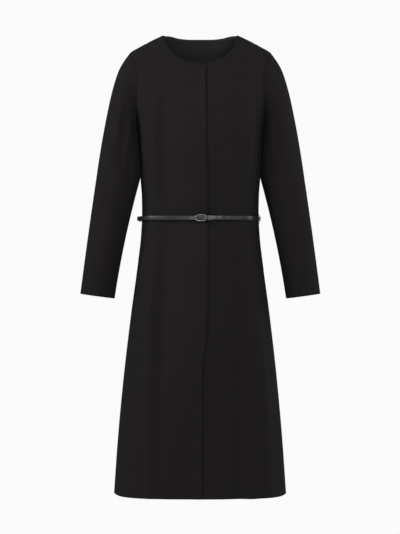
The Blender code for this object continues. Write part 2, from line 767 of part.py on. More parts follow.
for old in list(bpy.data.objects):
    bpy.data.objects.remove(old, do_unlink=True)
coat = bpy.data.collections.new("belted_coat")
bpy.context.scene.collection.children.link(coat)
cutters = bpy.data.collections.new("cutters")
bpy.context.scene.collection.children.link(cutters)

wool = make_material("black_wool", (0.016, 0.015, 0.015), 0.9)
facing_wool = make_material("black_wool_facing", (0.014, 0.013, 0.013), 0.9)
leather = make_material("black_leather", (0.012, 0.012, 0.012), 0.4)
metal = make_material("polished_metal", (0.60, 0.59, 0.57), 0.2, 1.0)

step_angle = math.pi / ARMHOLE_STEPS
sleeve_seam = SLEEVE_SEAM_STEPS * step_angle
armhole_middle = 0.5 * (SHOULDER_DROP + UNDERARM_DROP)
armhole_half = UNDERARM_DROP - armhole_middle
armhole_turns = step_angle * np.arange(ARMHOLE_STEPS + 1)
armhole_rows = tuple(armhole_middle - armhole_half * np.cos(armhole_turns))
all_rows = tuple(sorted(SKIRT_ROWS + armhole_rows + NECK_ROWS + SHOULDER_ROWS, reverse=True))
bodice_rows = (BELT_DROP - 0.5 * SEAM,) + tuple(row for row in all_rows if row < BELT_DROP)
skirt_rows = tuple(row for row in all_rows if row > BELT_DROP) + (BELT_DROP + 0.5 * SEAM,)
half_turn = math.pi

for length, rows in (("bodice", bodice_rows), ("skirt", skirt_rows)):
    side_rows = tuple(row for row in rows if row >= PRINCESS[0, 0])
    panel("front_right_" + length, -1.0, rows, lambda d: front_start(d, -float(front_edge(d))), front_stop,
          FRONT_SPLIT, wool, coat, lap_lift)
    panel("front_left_" + length, 1.0, rows, lambda d: front_start(d, UNDER_EDGE), front_stop,
          FRONT_SPLIT, wool, coat)
    for side, word in ((-1.0, "right_"), (1.0, "left_")):
        panel("side_front_" + word + length, side, side_rows,
              lambda d: inset(princess_angle(d), d, 0.5 * SEAM), lambda d: side_angle(d, -1.0),
              SIDE_SPLIT, wool, coat)
        panel("back_" + word + length, side, rows, lambda d: side_angle(d, 1.0),
              lambda d: inset(half_turn, d, -0.5 * SEAM), BACK_SPLIT, wool, coat, fall=back_neck_fall)
for side, word in ((-1.0, "right"), (1.0, "left")):
    sleeve("sleeve_upper_" + word, side, -sleeve_seam, sleeve_seam, wool, coat)
    sleeve("sleeve_under_" + word, side, sleeve_seam, 2.0 * half_turn - sleeve_seam, wool, coat)

facing_outer = []
facing_inner = []
for row in reversed([row for row in all_rows if row <= FACING_DEPTH]):
    half = split_angles(side_angle(row, 1.0), inset(half_turn, row, -0.5 * SEAM), row, BACK_SPLIT)
    half = half[FACING_SKIP:-1]
    angles = np.concatenate([half, [half_turn], 2.0 * half_turn - half[::-1]])
    drops = row + back_neck_fall(angles, row)
    points = body_point(angles, drops)
    normals = body_normal(angles, drops)
    facing_outer.append(points - (CLOTH + FACING_CLEAR) * normals)
    facing_inner.append(points - (CLOTH + FACING_CLEAR + FACING_CLOTH) * normals)
wall("back_neck_facing", np.array(facing_outer), np.array(facing_inner), facing_wool, coat)

belt_line = strap_path()
from_tip = np.cumsum(np.linalg.norm(np.diff(belt_line[::-1], axis=0), axis=1))
from_tip = np.concatenate([[0.0], from_tip])[::-1]
tip_shape = np.sqrt(np.clip(TIP_BLUNT + from_tip / TIP_TAPER, 0.0, 1.0))
strap_sections = ribbon_sections(belt_line, BELT_WIDTH, BELT_THICK, tip_shape)
strap = solid_along("belt_strap", strap_sections, leather, coat)
hole_ends = [front_spot(PRONG_HOLE, float(tongue_out(PRONG_HOLE)) + far) for far in PUNCH_REACH]
punch = solid_along("prong_hole", rod_sections(np.array(hole_ends), HOLE_RADIUS, sides=10), leather, cutters)
punch.hide_render = True
punch.display_type = "WIRE"
cut = strap.modifiers.new("prong_hole", "BOOLEAN")
cut.operation = "DIFFERENCE"
cut.solver = "EXACT"
cut.object = punch

solid_along("belt_buckle_frame", rod_sections(frame_path(), FRAME_RADIUS, ring=True), metal, coat, True, True)
solid_along("belt_prong", rod_sections(prong_path(), PRONG_RADIUS), metal, coat, smooth=True)
solid_along("belt_keeper", keeper_sections(), leather, coat, ring=True)
for name, degrees in CARRIER_ANGLES.items():
    solid_along(name, carrier_sections(degrees), wool, coat)
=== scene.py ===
"""Looks of a collarless belted coat: wool shells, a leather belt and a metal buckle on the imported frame."""

import math

import bmesh
import bpy
import numpy as np
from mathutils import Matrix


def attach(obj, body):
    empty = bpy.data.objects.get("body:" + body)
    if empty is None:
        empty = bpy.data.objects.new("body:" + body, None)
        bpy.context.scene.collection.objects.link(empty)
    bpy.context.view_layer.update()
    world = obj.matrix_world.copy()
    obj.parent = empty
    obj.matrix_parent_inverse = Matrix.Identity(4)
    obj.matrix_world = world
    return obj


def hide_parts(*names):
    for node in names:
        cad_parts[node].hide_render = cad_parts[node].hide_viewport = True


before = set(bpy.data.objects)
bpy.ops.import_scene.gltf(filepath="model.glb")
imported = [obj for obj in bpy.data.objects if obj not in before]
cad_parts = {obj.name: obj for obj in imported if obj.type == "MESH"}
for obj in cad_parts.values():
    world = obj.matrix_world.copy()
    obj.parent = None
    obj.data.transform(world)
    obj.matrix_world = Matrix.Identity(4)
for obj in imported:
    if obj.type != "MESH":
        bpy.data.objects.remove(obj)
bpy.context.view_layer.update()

# Sizes in metres. The origin is midway between the two neck points, the front faces -Y, the hem hangs below.
# A drop is a distance below the neck points; an angle goes round the body from the front towards +X.
CLOTH = 0.002
SEAM = 0.0003
HEM_DROP = 1.16
NECK_HALF_WIDTH = 0.0925
NECK_FRONT_DROP = 0.076
NECK_BACK_DROP = 0.0035
NECK_SIDE_RISE = 0.002
NECK_RISE_PLACE = 0.22
NECK_RISE_WIDTH = 0.15
HEM_DIP = 0.003
HEM_DIP_HEIGHT = 0.35
SHOULDER_DROP = 0.047
UNDERARM_DROP = 0.235
ARMHOLE_MIDDLE = 0.5 * (SHOULDER_DROP + UNDERARM_DROP)
ARMHOLE_FRONT = 0.055
ARMHOLE_BACK = 0.06
LAP = CLOTH + 0.0008
LAP_FULL = 0.04
LAP_FADE = 0.09
UNDER_EDGE = -0.028
FACING_DEPTH = 0.077
FACING_COLUMNS = 40
FACING_FIRST_COLUMN = 11
FACING_CLOTH = 0.0014
FACING_CLEAR = 0.0005
DROP_STEP = 0.0008
TURN_STEP = 0.01

BODY_SECTIONS = np.array([
    # drop, half width, front depth, back depth, squareness
    (0.0, 0.0985, 0.034, 0.058, 2.0),
    (0.012, 0.1237, 0.044, 0.067, 2.0),
    (0.028, 0.1538, 0.054, 0.076, 2.0),
    (0.047, 0.182, 0.064, 0.087, 2.1),
    (0.08, 0.187, 0.079, 0.099, 2.2),
    (0.13, 0.1825, 0.097, 0.109, 2.3),
    (0.16, 0.178, 0.106, 0.112, 2.35),
    (0.185, 0.1723, 0.113, 0.114, 2.4),
    (0.21, 0.1658, 0.118, 0.115, 2.45),
    (0.235, 0.1605, 0.122, 0.114, 2.5),
    (0.27, 0.1573, 0.124, 0.111, 2.5),
    (0.315, 0.1546, 0.121, 0.105, 2.5),
    (0.365, 0.1524, 0.114, 0.099, 2.55),
    (0.41, 0.149, 0.108, 0.095, 2.6),
    (0.455, 0.1484, 0.105, 0.094, 2.6),
    (0.505, 0.1506, 0.108, 0.099, 2.6),
    (0.585, 0.1595, 0.118, 0.112, 2.65),
    (0.713, 0.1763, 0.134, 0.129, 2.7),
    (0.866, 0.1933, 0.15, 0.143, 2.8),
    (1.019, 0.2067, 0.163, 0.154, 2.85),
    (1.16, 0.2164, 0.172, 0.163, 2.9),
])
PRINCESS = np.array([
    # drop, distance of the seam from the middle
    (0.017, 0.1304),
    (0.047, 0.123),
    (0.11, 0.113),
    (0.18, 0.109),
    (0.3, 0.111),
    (0.455, 0.114),
    (0.7, 0.114),
    (1.16, 0.116),
])
SEAM_TOP = 0.0002
FRONT_EDGE = np.array([
    # drop, place of the top front's edge
    (0.06, 0.011),
    (0.3, 0.0118),
    (0.36, 0.0135),
    (0.56, 0.014),
    (0.72, 0.013),
    (0.77, 0.011),
    (0.81, 0.006),
    (0.86, 0.0035),
    (1.16, 0.002),
])
UNDER_GROOVE = np.array([
    # drop, how far the under front falls back beside that edge, half width of the groove
    (0.07, 0.0028, 0.0036),
    (0.27, 0.0034, 0.0042),
    (0.35, 0.004, 0.007),
    (0.455, 0.0034, 0.007),
    (0.7, 0.0026, 0.0045),
    (0.9, 0.001, 0.004),
    (1.16, 0.0, 0.004),
])
GROOVE_BESIDE = 0.0022
GROOVE_STEP = 0.0024
SEAM_FOLDS = np.array([
    # drop, right ridge, right hollow, left ridge, left hollow
    (0.06, 0.0, 0.0, 0.0, 0.0),
    (0.16, 0.001, 0.001, 0.001, 0.002),
    (0.3, 0.0025, 0.002, 0.002, 0.003),
    (0.455, 0.0012, 0.001, 0.0012, 0.0014),
    (0.56, 0.003, 0.0025, 0.003, 0.004),
    (0.8, 0.0035, 0.003, 0.004, 0.0055),
    (1.16, 0.0025, 0.0025, 0.005, 0.006),
])
FOLD_OFFSET = 0.012
RIDGE_WIDTH = 0.012
HOLLOW_WIDTH = 0.014
SKIRT_FLUTES = (
    # degrees round the body, half width, rise at the hem
    (-82.0, 0.03, 0.003),
    (78.0, 0.028, 0.0018),
    (113.0, 0.03, -0.0045),
    (141.0, 0.036, 0.0065),
    (169.0, 0.03, -0.005),
    (-166.0, 0.034, 0.006),
    (-139.0, 0.034, -0.005),
    (-112.0, 0.03, 0.005),
)
FLUTE_START = 0.56
FLUTE_LENGTH = 0.56
EDGE_HOLLOW = np.array([
    # drop, place across, half width, depth
    (0.82, 0.006, 0.016, 0.0),
    (0.9, -0.004, 0.022, 0.002),
    (1.02, -0.022, 0.03, 0.0045),
    (1.16, -0.038, 0.038, 0.006),
])
FRONT_DRAPE = np.array([
    # drop, ridge at the opening edge, hollow inside the right princess seam, and inside the left one
    (0.08, 0.0, 0.0, 0.0),
    (0.2, 0.003, 0.0055, 0.0045),
    (0.3, 0.0055, 0.0085, 0.008),
    (0.42, 0.011, 0.01, 0.0095),
    (0.52, 0.0145, 0.011, 0.0125),
    (0.67, 0.0145, 0.01, 0.0125),
    (0.8, 0.0105, 0.0065, 0.0115),
    (0.93, 0.004, 0.003, 0.008),
    (1.05, 0.0, 0.001, 0.0065),
    (1.16, 0.0, 0.0, 0.005),
])
DRAPE_RIDGE = (0.012, 0.06, 0.055)
DRAPE_CREST = 0.1
DRAPE_RIGHT = (-0.098, 0.022, 0.07)
DRAPE_LEFT = (0.092, 0.05, 0.022)
PINCH_REACH = (0.075, 0.115)
FOLDS_HELD = 0.55
PINCH = 0.028
SIDE_FOLDS = (
    # degrees round the body, top drop, bottom drop, lean in degrees, half width, rise
    (-51.0, 0.14, 0.47, 2.0, 0.012, 0.004),
    (54.0, 0.12, 0.47, 0.0, 0.015, 0.0085),
    (-50.0, 0.44, 1.0, 4.0, 0.014, 0.004),
    (53.0, 0.44, 1.2, 0.0, 0.018, 0.011),
)

SLEEVE_RINGS = np.array([
    # along, outer across, outer drop, inner drop, half depth, forward
    (0.0, 0.182, 0.047, 0.235, 0.056, 0.0),
    (0.026, 0.192, 0.06, 0.24, 0.055, 0.002),
    (0.06, 0.203, 0.078, 0.246, 0.0545, 0.005),
    (0.1, 0.213, 0.103, 0.254, 0.0545, 0.008),
    (0.18, 0.226, 0.149, 0.27, 0.0555, 0.012),
    (0.255, 0.236, 0.195, 0.288, 0.056, 0.015),
    (0.355, 0.2475, 0.256, 0.316, 0.056, 0.018),
    (0.455, 0.2576, 0.317, 0.35, 0.0545, 0.019),
    (0.535, 0.265, 0.368, 0.386, 0.053, 0.02),
    (0.62, 0.2725, 0.419, 0.431, 0.0515, 0.02),
    (0.72, 0.2816, 0.483, 0.493, 0.049, 0.021),
    (0.86, 0.2933, 0.569, 0.58, 0.0455, 0.023),
    (1.0, 0.3045, 0.656, 0.668, 0.0425, 0.026),
])
SLEEVE_CLEARANCE = -0.0015
UNDERSIDE_TOP = (0.34, 0.1452)
UNDERSIDE_CUFF = (0.668, 0.2172)
UNDERSIDE_BOW = 0.006
UNDERSIDE_BEND = 0.002
SLEEVE_SEAM_STEPS = 7
ARMHOLE_STEPS = 9
ARMHOLE_BLEND = 0.08
SLEEVE_REACH = 0.055
SLEEVE_ROWS = 96
SLEEVE_ROW_POWER = 1.15
SLEEVE_FOLDS = (
    # degrees round the sleeve, half width in degrees, start, finish, depth
    (-94.0, 15.0, 0.03, 0.52, 0.0075),
    (-122.0, 13.0, 0.22, 0.6, 0.0035),
    (98.0, 17.0, 0.04, 0.46, 0.0065),
    (-70.0, 14.0, 0.52, 0.86, 0.0022),
    (120.0, 15.0, 0.5, 0.8, 0.003),
)

BELT_DROP = 0.466
BELT_WIDTH = 0.0105
BELT_THICK = 0.0016
BELT_CLEAR = 0.0006
STRAP_EDGE = 0.0005
STRAP_CROWN = 0.00028
CROWN_SHARES = (0.6, 0.3, 0.0, -0.3, -0.6)
EDGE_CORNERS = 4
FOLD_BACK_ROWS = 10
WRAP_STEP = 15.0
FIXED_ROWS = 24
WAIST_ROWS = 200
TONGUE_ROWS = 70
BUCKLE_LIFT = 0.002
BUCKLE_RAISED = (-0.045, 0.075)
BUCKLE_RAMP = 0.025
STAND_OFF = np.array([
    # degrees round the body from the front, distance the belt stands off the cloth
    (0.0, 0.0),
    (60.0, 0.0006),
    (90.0, 0.0012),
    (130.0, 0.0005),
    (180.0, 0.0),
    (235.0, 0.001),
    (270.0, 0.0102),
    (300.0, 0.004),
    (330.0, 0.0),
    (360.0, 0.0),
])
BAR_PLACE = 0.0125
BAR_RADIUS = 0.001
FRAME_RADIUS = 0.0011
FRAME_END = -0.0122
FRAME_HALF_HEIGHT = 0.0072
FRAME_ROUND_START = -0.004
FRAME_CORNER = 0.003
FRAME_CORNER_IN = 0.0007
BAR_HALF = 0.0056
BAR_POINTS = 7
ARM_POINTS = 7
ROUND_POINTS = 17
FRAME_ROWS = 120
ROD_SIDES = 20
FOLD_BACK_END = 0.031
FOLD_BACK_FADE = 0.016
LAYERS_CLOSE = 0.01
LAYER_SLACK = 0.0002
WAIST_START = 0.06
WAIST_FINISH = -0.048
FIXED_FINISH = 0.052
TONGUE_START = -0.04
TONGUE_LEVEL = -0.024
TONGUE_UNDER_FRAME = -0.0075
TONGUE_TOP = 0.007
UNDER_FRAME_RISE = 0.0008
TIP_PLACE = 0.0365
TIP_TAPER = 0.006
TIP_BLUNT = 0.12
PRONG_RADIUS = 0.0007
PRONG_HOLE = 0.0066
PRONG_ROOT = 0.0006
PRONG_OVERHANG = 0.0014
PRONG_ROWS = 36
PRONG_TAPER = (6.0, 0.15)
HOLE_RADIUS = 0.0014
PUNCH_REACH = (-0.0012, 0.0016)
KEEPER_PLACE = 0.0202
KEEPER_WIDTH = 0.0042
KEEPER_THICK = 0.0009
KEEPER_CORNER = 0.0008
KEEPER_EDGE = 0.0003
CARRIER_WIDTH = 0.005
CARRIER_THICK = 0.001
CARRIER_RISE = 0.008
CARRIER_SEWN = 0.004
CARRIER_CLEAR = 0.001
CARRIER_BEND = 0.0008
CARRIER_EDGE = 0.0004
CARRIER_ROWS = 48
CARRIER_ANGLES = {"belt_carrier_left": 90.0, "belt_carrier_right": 257.0}

WOOL_DARK = (0.0113, 0.01, 0.0101)
WOOL_LIGHT = (0.015, 0.0133, 0.0133)
# The facing is the same black wool as the shell with its tones painted lighter: painted light standing in for
# the light that reaches the inside of the back neck.
PAINTED_LIGHT_FACING_LOW = (0.0254, 0.0228, 0.0235)
PAINTED_LIGHT_FACING_HIGH = (0.0319, 0.0289, 0.03)
WOOL_SHEEN = 0.01
SHEEN_ROUGHNESS = 0.45
SHEEN_TINT = (0.95, 0.95, 1.0, 1.0)
WOOL_SPECULAR = 0.03
WOOL_ROUGHNESS = (0.8, 0.96)
MOTTLE_SCALE = 34.0
MOTTLE_RANGE = (0.41, 0.59)
TONE_RANGE = (0.75, 1.25)
FIBRE_SCALE = 1300.0
FIBRE_LIE = (1.0, 1.0, 0.3)
FIBRE_HEIGHT = 0.00025
TWILL_SCALE = 220.0
TWILL_HEIGHT = 0.00012
LEATHER_DARK = (0.01, 0.01, 0.01)
LEATHER_LIGHT = (0.022, 0.021, 0.02)
LEATHER_SPECULAR = 0.6
LEATHER_ROUGHNESS = (0.32, 0.46)
PEBBLE_SCALE = 2600.0
PEBBLE_HEIGHT = 0.00003
WEAR_SCALE = 160.0
WEAR_HEIGHT = 0.00006
METAL_DARK = (0.165, 0.163, 0.159)
METAL_LIGHT = (0.21, 0.207, 0.201)
METAL_ROUGHNESS = (0.12, 0.24)
CLOUD_SCALE = 300.0
SCRATCH_SCALE = 2200.0
SCRATCH_LIE = (1.0, 1.0, 8.0)
SCRATCH_HEIGHT = 0.00002
FLOOR_COLOUR = (0.97, 0.97, 0.97, 1.0)

FLOOR_DROP = 1.42
FLOOR_RADIUS = 1.05
FLOOR_SIDES = 96
BACKGROUND_LIGHT = 0.96
ROOM_LIGHT = 0.14
CAMERA_DISTANCE = 5.5
CAMERA_DROP = 0.589
CAMERA_ACROSS = -0.0009
FRAME_HEIGHT = 1.3617
SENSOR_HEIGHT = 24.0
LIGHTS = (
    # name, place, aim, width, height, watts, spread in degrees
    ("key_light", (-2.6, -1.5, 0.9), (0.0, 0.0, -0.28), 1.2, 1.6, 6.5, 75.0),
    ("left_light", (-2.7, -0.55, 1.1), (0.0, 0.0, -0.3), 0.8, 1.2, 48.0, 180.0),
    ("right_light", (2.75, -0.5, 0.4), (0.0, 0.0, -0.5), 0.8, 2.0, 27.0, 180.0),
    ("rim_light", (2.41, 0.65, 0.5), (0.0, 0.0, -0.5), 0.8, 2.0, 22.0, 180.0),
    ("chest_light", (0.7, -2.6, 0.6), (0.0, 0.0, -0.1), 1.0, 1.0, 4.6, 60.0),
    ("low_light", (0.0, -3.5, -0.9), (0.0, 0.0, -0.6), 1.6, 1.0, 29.0, 180.0),
)

# Finer looks: row and column spacing of the cloth, its rounded edges and its sunk seams.
SEAM_ROWS = 60
NECK_ROWS = 22
ARMHOLE_ROWS = 36
ROW_SAMPLES = 65
ROW_STEP = 0.007
ROW_CLOSEST = 0.0004
COLUMN_STEP = 0.0055
FEWEST_COLUMNS = 8
EDGE_ROUND = 0.45
SEAM_SINK = 0.0004
SEAM_SINK_WIDTH = 0.001
SEAM_COLUMNS = (0.0005, 0.0012, 0.0024)
SEAM_SHARES = (0.15, 0.35, 0.65)
TUCK = 0.006
TUCK_IN = 0.05
SLEEVE_UNDER = 0.0008
SLEEVE_UNDER_RUN = 0.012
SIDE_FOLD_POWER = 0.8
CREASE_POWER = 1.5

BODY_CREASES = (
    # degrees round the body, top drop, bottom drop, lean in degrees, half width, rise
    (-22.0, 0.205, 0.3, -6.0, 0.01, -0.0007),
    (31.0, 0.19, 0.33, 5.0, 0.012, -0.0008),
    (-58.0, 0.335, 0.452, 4.0, 0.009, -0.001),
    (-66.0, 0.3, 0.44, 7.0, 0.011, 0.0008),
    (57.0, 0.35, 0.45, -5.0, 0.009, -0.001),
    (68.0, 0.31, 0.445, -6.0, 0.01, 0.0008),
    (-30.0, 0.476, 0.64, -3.0, 0.016, -0.0011),
    (-9.0, 0.474, 0.62, -2.0, 0.012, 0.0008),
    (24.0, 0.476, 0.69, 3.0, 0.017, -0.0012),
    (41.0, 0.474, 0.6, 2.0, 0.012, 0.001),
    (118.0, 0.33, 0.455, 6.0, 0.012, -0.0012),
    (134.0, 0.365, 0.46, -4.0, 0.01, 0.0009),
    (152.0, 0.34, 0.458, 5.0, 0.013, -0.0011),
    (-124.0, 0.345, 0.458, -5.0, 0.012, -0.0012),
    (-147.0, 0.32, 0.455, 4.0, 0.011, 0.0009),
    (-161.0, 0.36, 0.46, -3.0, 0.012, -0.001),
    (126.0, 0.478, 0.72, 4.0, 0.018, -0.0014),
    (-131.0, 0.478, 0.7, -5.0, 0.018, -0.0014),
    (108.0, 0.12, 0.26, 10.0, 0.014, -0.0013),
    (-110.0, 0.11, 0.255, -9.0, 0.014, -0.0013),
)
SLEEVE_CREASES = (
    # degrees round the sleeve, start and finish along it, lean in degrees, half width, rise
    (-48.0, 0.3, 0.46, 30.0, 0.011, -0.0011),
    (-30.0, 0.6, 0.7, -34.0, 0.007, -0.0009),
    (-12.0, 0.66, 0.76, -30.0, 0.008, 0.0006),
    (-140.0, 0.38, 0.52, 34.0, 0.01, -0.0014),
    (-152.0, 0.46, 0.58, 30.0, 0.009, 0.001),
    (148.0, 0.36, 0.5, -32.0, 0.011, -0.0014),
    (60.0, 0.44, 0.58, -26.0, 0.012, -0.0011),
    (36.0, 0.66, 0.8, 22.0, 0.01, -0.0009),
    (128.0, 0.62, 0.74, -20.0, 0.01, -0.0009),
)


class Profile:
    """A smooth curve through the rows of a table that never overshoots between them."""

    def __init__(self, places, values):
        self.places = np.asarray(places, float)
        self.values = np.asarray(values, float)
        step = np.diff(self.places)
        rate = np.diff(self.values) / step
        self.slope = np.zeros(len(self.places))
        self.slope[0] = rate[0]
        self.slope[-1] = rate[-1]
        for i in range(1, len(rate)):
            if rate[i - 1] * rate[i] > 0.0:
                before = 2.0 * step[i] + step[i - 1]
                after = step[i] + 2.0 * step[i - 1]
                self.slope[i] = (before + after) / (before / rate[i - 1] + after / rate[i])

    def __call__(self, place):
        inside = np.clip(place, self.places[0], self.places[-1])
        row = np.clip(np.searchsorted(self.places, inside) - 1, 0, len(self.places) - 2)
        step = self.places[row + 1] - self.places[row]
        part = (inside - self.places[row]) / step
        rest = 1.0 - part
        start = self.values[row] * (1.0 + 2.0 * part) * rest * rest
        finish = self.values[row + 1] * (3.0 - 2.0 * part) * part * part
        bend = step * part * rest * (self.slope[row] * rest - self.slope[row + 1] * part)
        return start + finish + bend


def columns_of(table):
    return [Profile(table[:, 0], table[:, i]) for i in range(1, table.shape[1])]


half_width, front_depth, back_depth, squareness = columns_of(BODY_SECTIONS)
princess_place = columns_of(PRINCESS)[0]
front_edge = columns_of(FRONT_EDGE)[0]
groove_depth, groove_width = columns_of(UNDER_GROOVE)
right_ridge, right_hollow, left_ridge, left_hollow = columns_of(SEAM_FOLDS)
hollow_place, hollow_width, hollow_depth = columns_of(EDGE_HOLLOW)
drape_ridge, drape_right, drape_left = columns_of(FRONT_DRAPE)
outer_across, outer_drop, inner_drop, half_depth, forward = columns_of(SLEEVE_RINGS)
stand_off = columns_of(STAND_OFF)[0]
UP = np.array([0.0, 0.0, 1.0])


def ease(part):
    part = np.clip(part, 0.0, 1.0)
    return part * part * (3.0 - 2.0 * part)


def bump(distance, width):
    return np.exp(-((distance / width) ** 2))


def turn(angle):
    """The same angle between minus and plus half a turn."""
    return (angle + math.pi) % (2.0 * math.pi) - math.pi


def unit(vectors):
    return vectors / np.linalg.norm(vectors, axis=-1, keepdims=True)


def points_of(x, y, z):
    return np.stack(np.broadcast_arrays(x, y, z), -1)


def plain_radius(angle, drop):
    sine = np.abs(np.sin(angle))
    cosine = np.cos(angle)
    depth = np.where(cosine > 0.0, front_depth(drop), back_depth(drop))
    power = squareness(drop)
    return ((sine / half_width(drop)) ** power + (np.abs(cosine) / depth) ** power) ** (-1.0 / power)


def across_at(angle, drop):
    """How far round from the front an angle is, along the plain section."""
    return turn(angle) * plain_radius(angle, drop)


def other_reach(share, power):
    """How far a section reaches one way, of 1, where it has gone a share of its reach the other way."""
    return (1.0 - np.minimum(np.abs(share), 1.0) ** power) ** (1.0 / power)


def angle_across(place, drop):
    """The angle on the front where a section reaches a place across the body."""
    ahead = front_depth(drop) * other_reach(place / half_width(drop), squareness(drop))
    return np.arctan2(place, ahead)


def flank(depth, drop):
    """How far across the +X side is at a depth."""
    reach = np.where(depth < 0.0, front_depth(drop), back_depth(drop))
    return half_width(drop) * other_reach(depth / reach, squareness(drop))


def angle_at_depth(depth, drop):
    return np.arctan2(flank(depth, drop), -depth)


seam_drops = np.linspace(PRINCESS[0, 0], HEM_DROP, SEAM_ROWS)
seam_angles = angle_across(princess_place(seam_drops), seam_drops)
seam_angles[0] = 0.5 * math.pi - SEAM_TOP / PRINCESS[0, 1]
princess_angle = Profile(seam_drops, seam_angles)


def relief(angle, drop):
    """How far folds stand out from, or sink into, the plain section."""
    angle = turn(angle)
    reach = plain_radius(angle, drop)
    total = 0.0
    for side, ridge, hollow in ((-1.0, right_ridge, right_hollow), (1.0, left_ridge, left_hollow)):
        past = (side * angle - princess_angle(drop)) * reach
        total = total + ridge(drop) * bump(past - FOLD_OFFSET, RIDGE_WIDTH)
        total = total - hollow(drop) * bump(past + FOLD_OFFSET, HOLLOW_WIDTH)
    fall = ease((drop - FLUTE_START) / FLUTE_LENGTH)
    for degrees, width, rise in SKIRT_FLUTES:
        past = turn(angle - math.radians(degrees)) * reach
        total = total + rise * fall * bump(past, width)
    across = angle * reach
    return total - hollow_depth(drop) * bump(across - hollow_place(drop), hollow_width(drop))


def uneven_bump(across, form):
    """A bump about a place with its own width on either side."""
    place, right_width, left_width = form
    return bump(across - place, np.where(across < place, right_width, left_width))


def creases(table, angle, place, reach, power):
    """Creases of a table, each leaning round from its start to its finish and fading out at both."""
    total = 0.0
    for degrees, start, finish, lean, width, rise in table:
        run = np.clip((place - start) / (finish - start), 0.0, 1.0)
        past = turn(angle - np.radians(degrees + lean * run)) * reach
        total = total + rise * np.sin(math.pi * run) ** power * bump(past, width)
    return total


def drape(angle, drop):
    """Soft hanging folds of the fronts that only the looks have; the belt holds their crests in."""
    across = across_at(angle, drop)
    held = bump(drop - BELT_DROP, PINCH)
    inner, outer = PINCH_REACH
    place, right_width, left_width = DRAPE_RIDGE
    past = (across - place) / np.where(across < place, right_width, left_width)
    crest = np.exp(DRAPE_CREST - np.hypot(past, DRAPE_CREST)) * (1.0 - FOLDS_HELD * held)
    crest = crest - (1.0 - FOLDS_HELD) * held * ease((outer - np.abs(across)) / (outer - inner))
    hollow = drape_right(drop) * uneven_bump(across, DRAPE_RIGHT)
    hollow = hollow + drape_left(drop) * uneven_bump(across, DRAPE_LEFT)
    ridges = creases(SIDE_FOLDS, angle, drop, plain_radius(angle, drop), SIDE_FOLD_POWER) * (1.0 - held)
    return drape_ridge(drop) * crest - hollow * (1.0 - FOLDS_HELD * held) + ridges


def lap_lift(angle, drop):
    """The top front lies one cloth further out where it crosses the other."""
    return LAP * ease((LAP_FADE + across_at(angle, drop)) / (LAP_FADE - LAP_FULL))


def under_groove(angle, drop):
    """The under front falls back a little beside the edge that lies on it."""
    beside = across_at(angle, drop) - front_edge(drop) - GROOVE_BESIDE
    return -groove_depth(drop) * bump(beside, groove_width(drop))


def no_lift(angle, drop):
    return 0.0


def body_point(angle, drop, lift=no_lift, creased=0.0):
    reach = plain_radius(angle, drop) + relief(angle, drop) + lift(angle, drop) + creased
    return points_of(reach * np.sin(angle), -reach * np.cos(angle), -drop)


def creased_point(angle, drop, lift=no_lift):
    """A point of the cloth's outer face, with the folds and creases that only the looks have."""
    small = creases(BODY_CREASES, angle, drop, plain_radius(angle, drop), CREASE_POWER)
    return body_point(angle, drop, lift, small + drape(angle, drop))


def neck_angle(drop):
    across = NECK_HALF_WIDTH * np.sqrt(np.maximum(0.0, 1.0 - (drop / NECK_FRONT_DROP) ** 2))
    return angle_across(across, drop)


def side_angle(drop, half):
    """Where a panel ends at the side: shoulder seam, armhole edge or side seam; half is -1 front, +1 back."""
    part = np.clip((drop - ARMHOLE_MIDDLE) / (UNDERARM_DROP - ARMHOLE_MIDDLE), -1.0, 1.0)
    reach = ARMHOLE_FRONT if half < 0.0 else ARMHOLE_BACK
    edge = angle_at_depth(half * reach * np.sqrt(1.0 - part * part), drop)
    return np.where((drop <= SHOULDER_DROP) | (drop >= UNDERARM_DROP), 0.5 * math.pi, edge)


def front_start(drop, edge):
    return np.where(drop < NECK_FRONT_DROP, neck_angle(drop), angle_across(edge, drop))


def front_stop(drop):
    return np.where(drop < PRINCESS[0, 0], side_angle(drop, -1.0), princess_angle(drop))


def hem_fall(angles, row):
    """The hem hangs a little lower in front than at the sides."""
    front = ease(2.0 * np.cos(turn(angles)))
    return HEM_DIP * front * ease((row - HEM_DROP + HEM_DIP_HEIGHT) / HEM_DIP_HEIGHT)


def back_neck_fall(angles, row):
    """The back neck edge rises beside the neck points and dips a little in the middle."""
    round_back = (np.abs(turn(angles)) - 0.5 * math.pi) / (0.5 * math.pi)
    rise = NECK_SIDE_RISE * bump(round_back - NECK_RISE_PLACE, NECK_RISE_WIDTH)
    edge = NECK_BACK_DROP * ease(2.0 * (round_back - NECK_RISE_PLACE)) - rise
    return edge * np.maximum(0.0, 1.0 - row / SHOULDER_DROP) + hem_fall(angles, row)


def lengths_along(grid, axis):
    """Length from the first point along one axis of a grid."""
    steps = np.linalg.norm(np.diff(grid, axis=axis), axis=-1)
    total = np.cumsum(steps, axis=axis)
    first = np.zeros_like(np.take(total, [0], axis=axis))
    return np.concatenate([first, total], axis=axis)


def surface_normals(angle, drop, lift):
    """The way out at points of the creased body."""
    ahead = creased_point(angle + TURN_STEP, drop, lift) - creased_point(angle - TURN_STEP, drop, lift)
    down = creased_point(angle, drop + DROP_STEP, lift) - creased_point(angle, drop - DROP_STEP, lift)
    normals = unit(np.cross(ahead, down))
    outward = points_of(np.sin(angle), -np.cos(angle), 0.0)
    return normals * np.sign(np.sum(normals * outward, axis=-1, keepdims=True))


def grid_normals(grid, centre):
    """The way out at each point of a grid, away from a centre line."""
    normals = unit(np.cross(np.gradient(grid, axis=0), np.gradient(grid, axis=1)))
    return normals * np.sign(np.sum(normals * (grid - centre)))


def armhole_drop(angle):
    return ARMHOLE_MIDDLE - (UNDERARM_DROP - ARMHOLE_MIDDLE) * np.cos(angle)


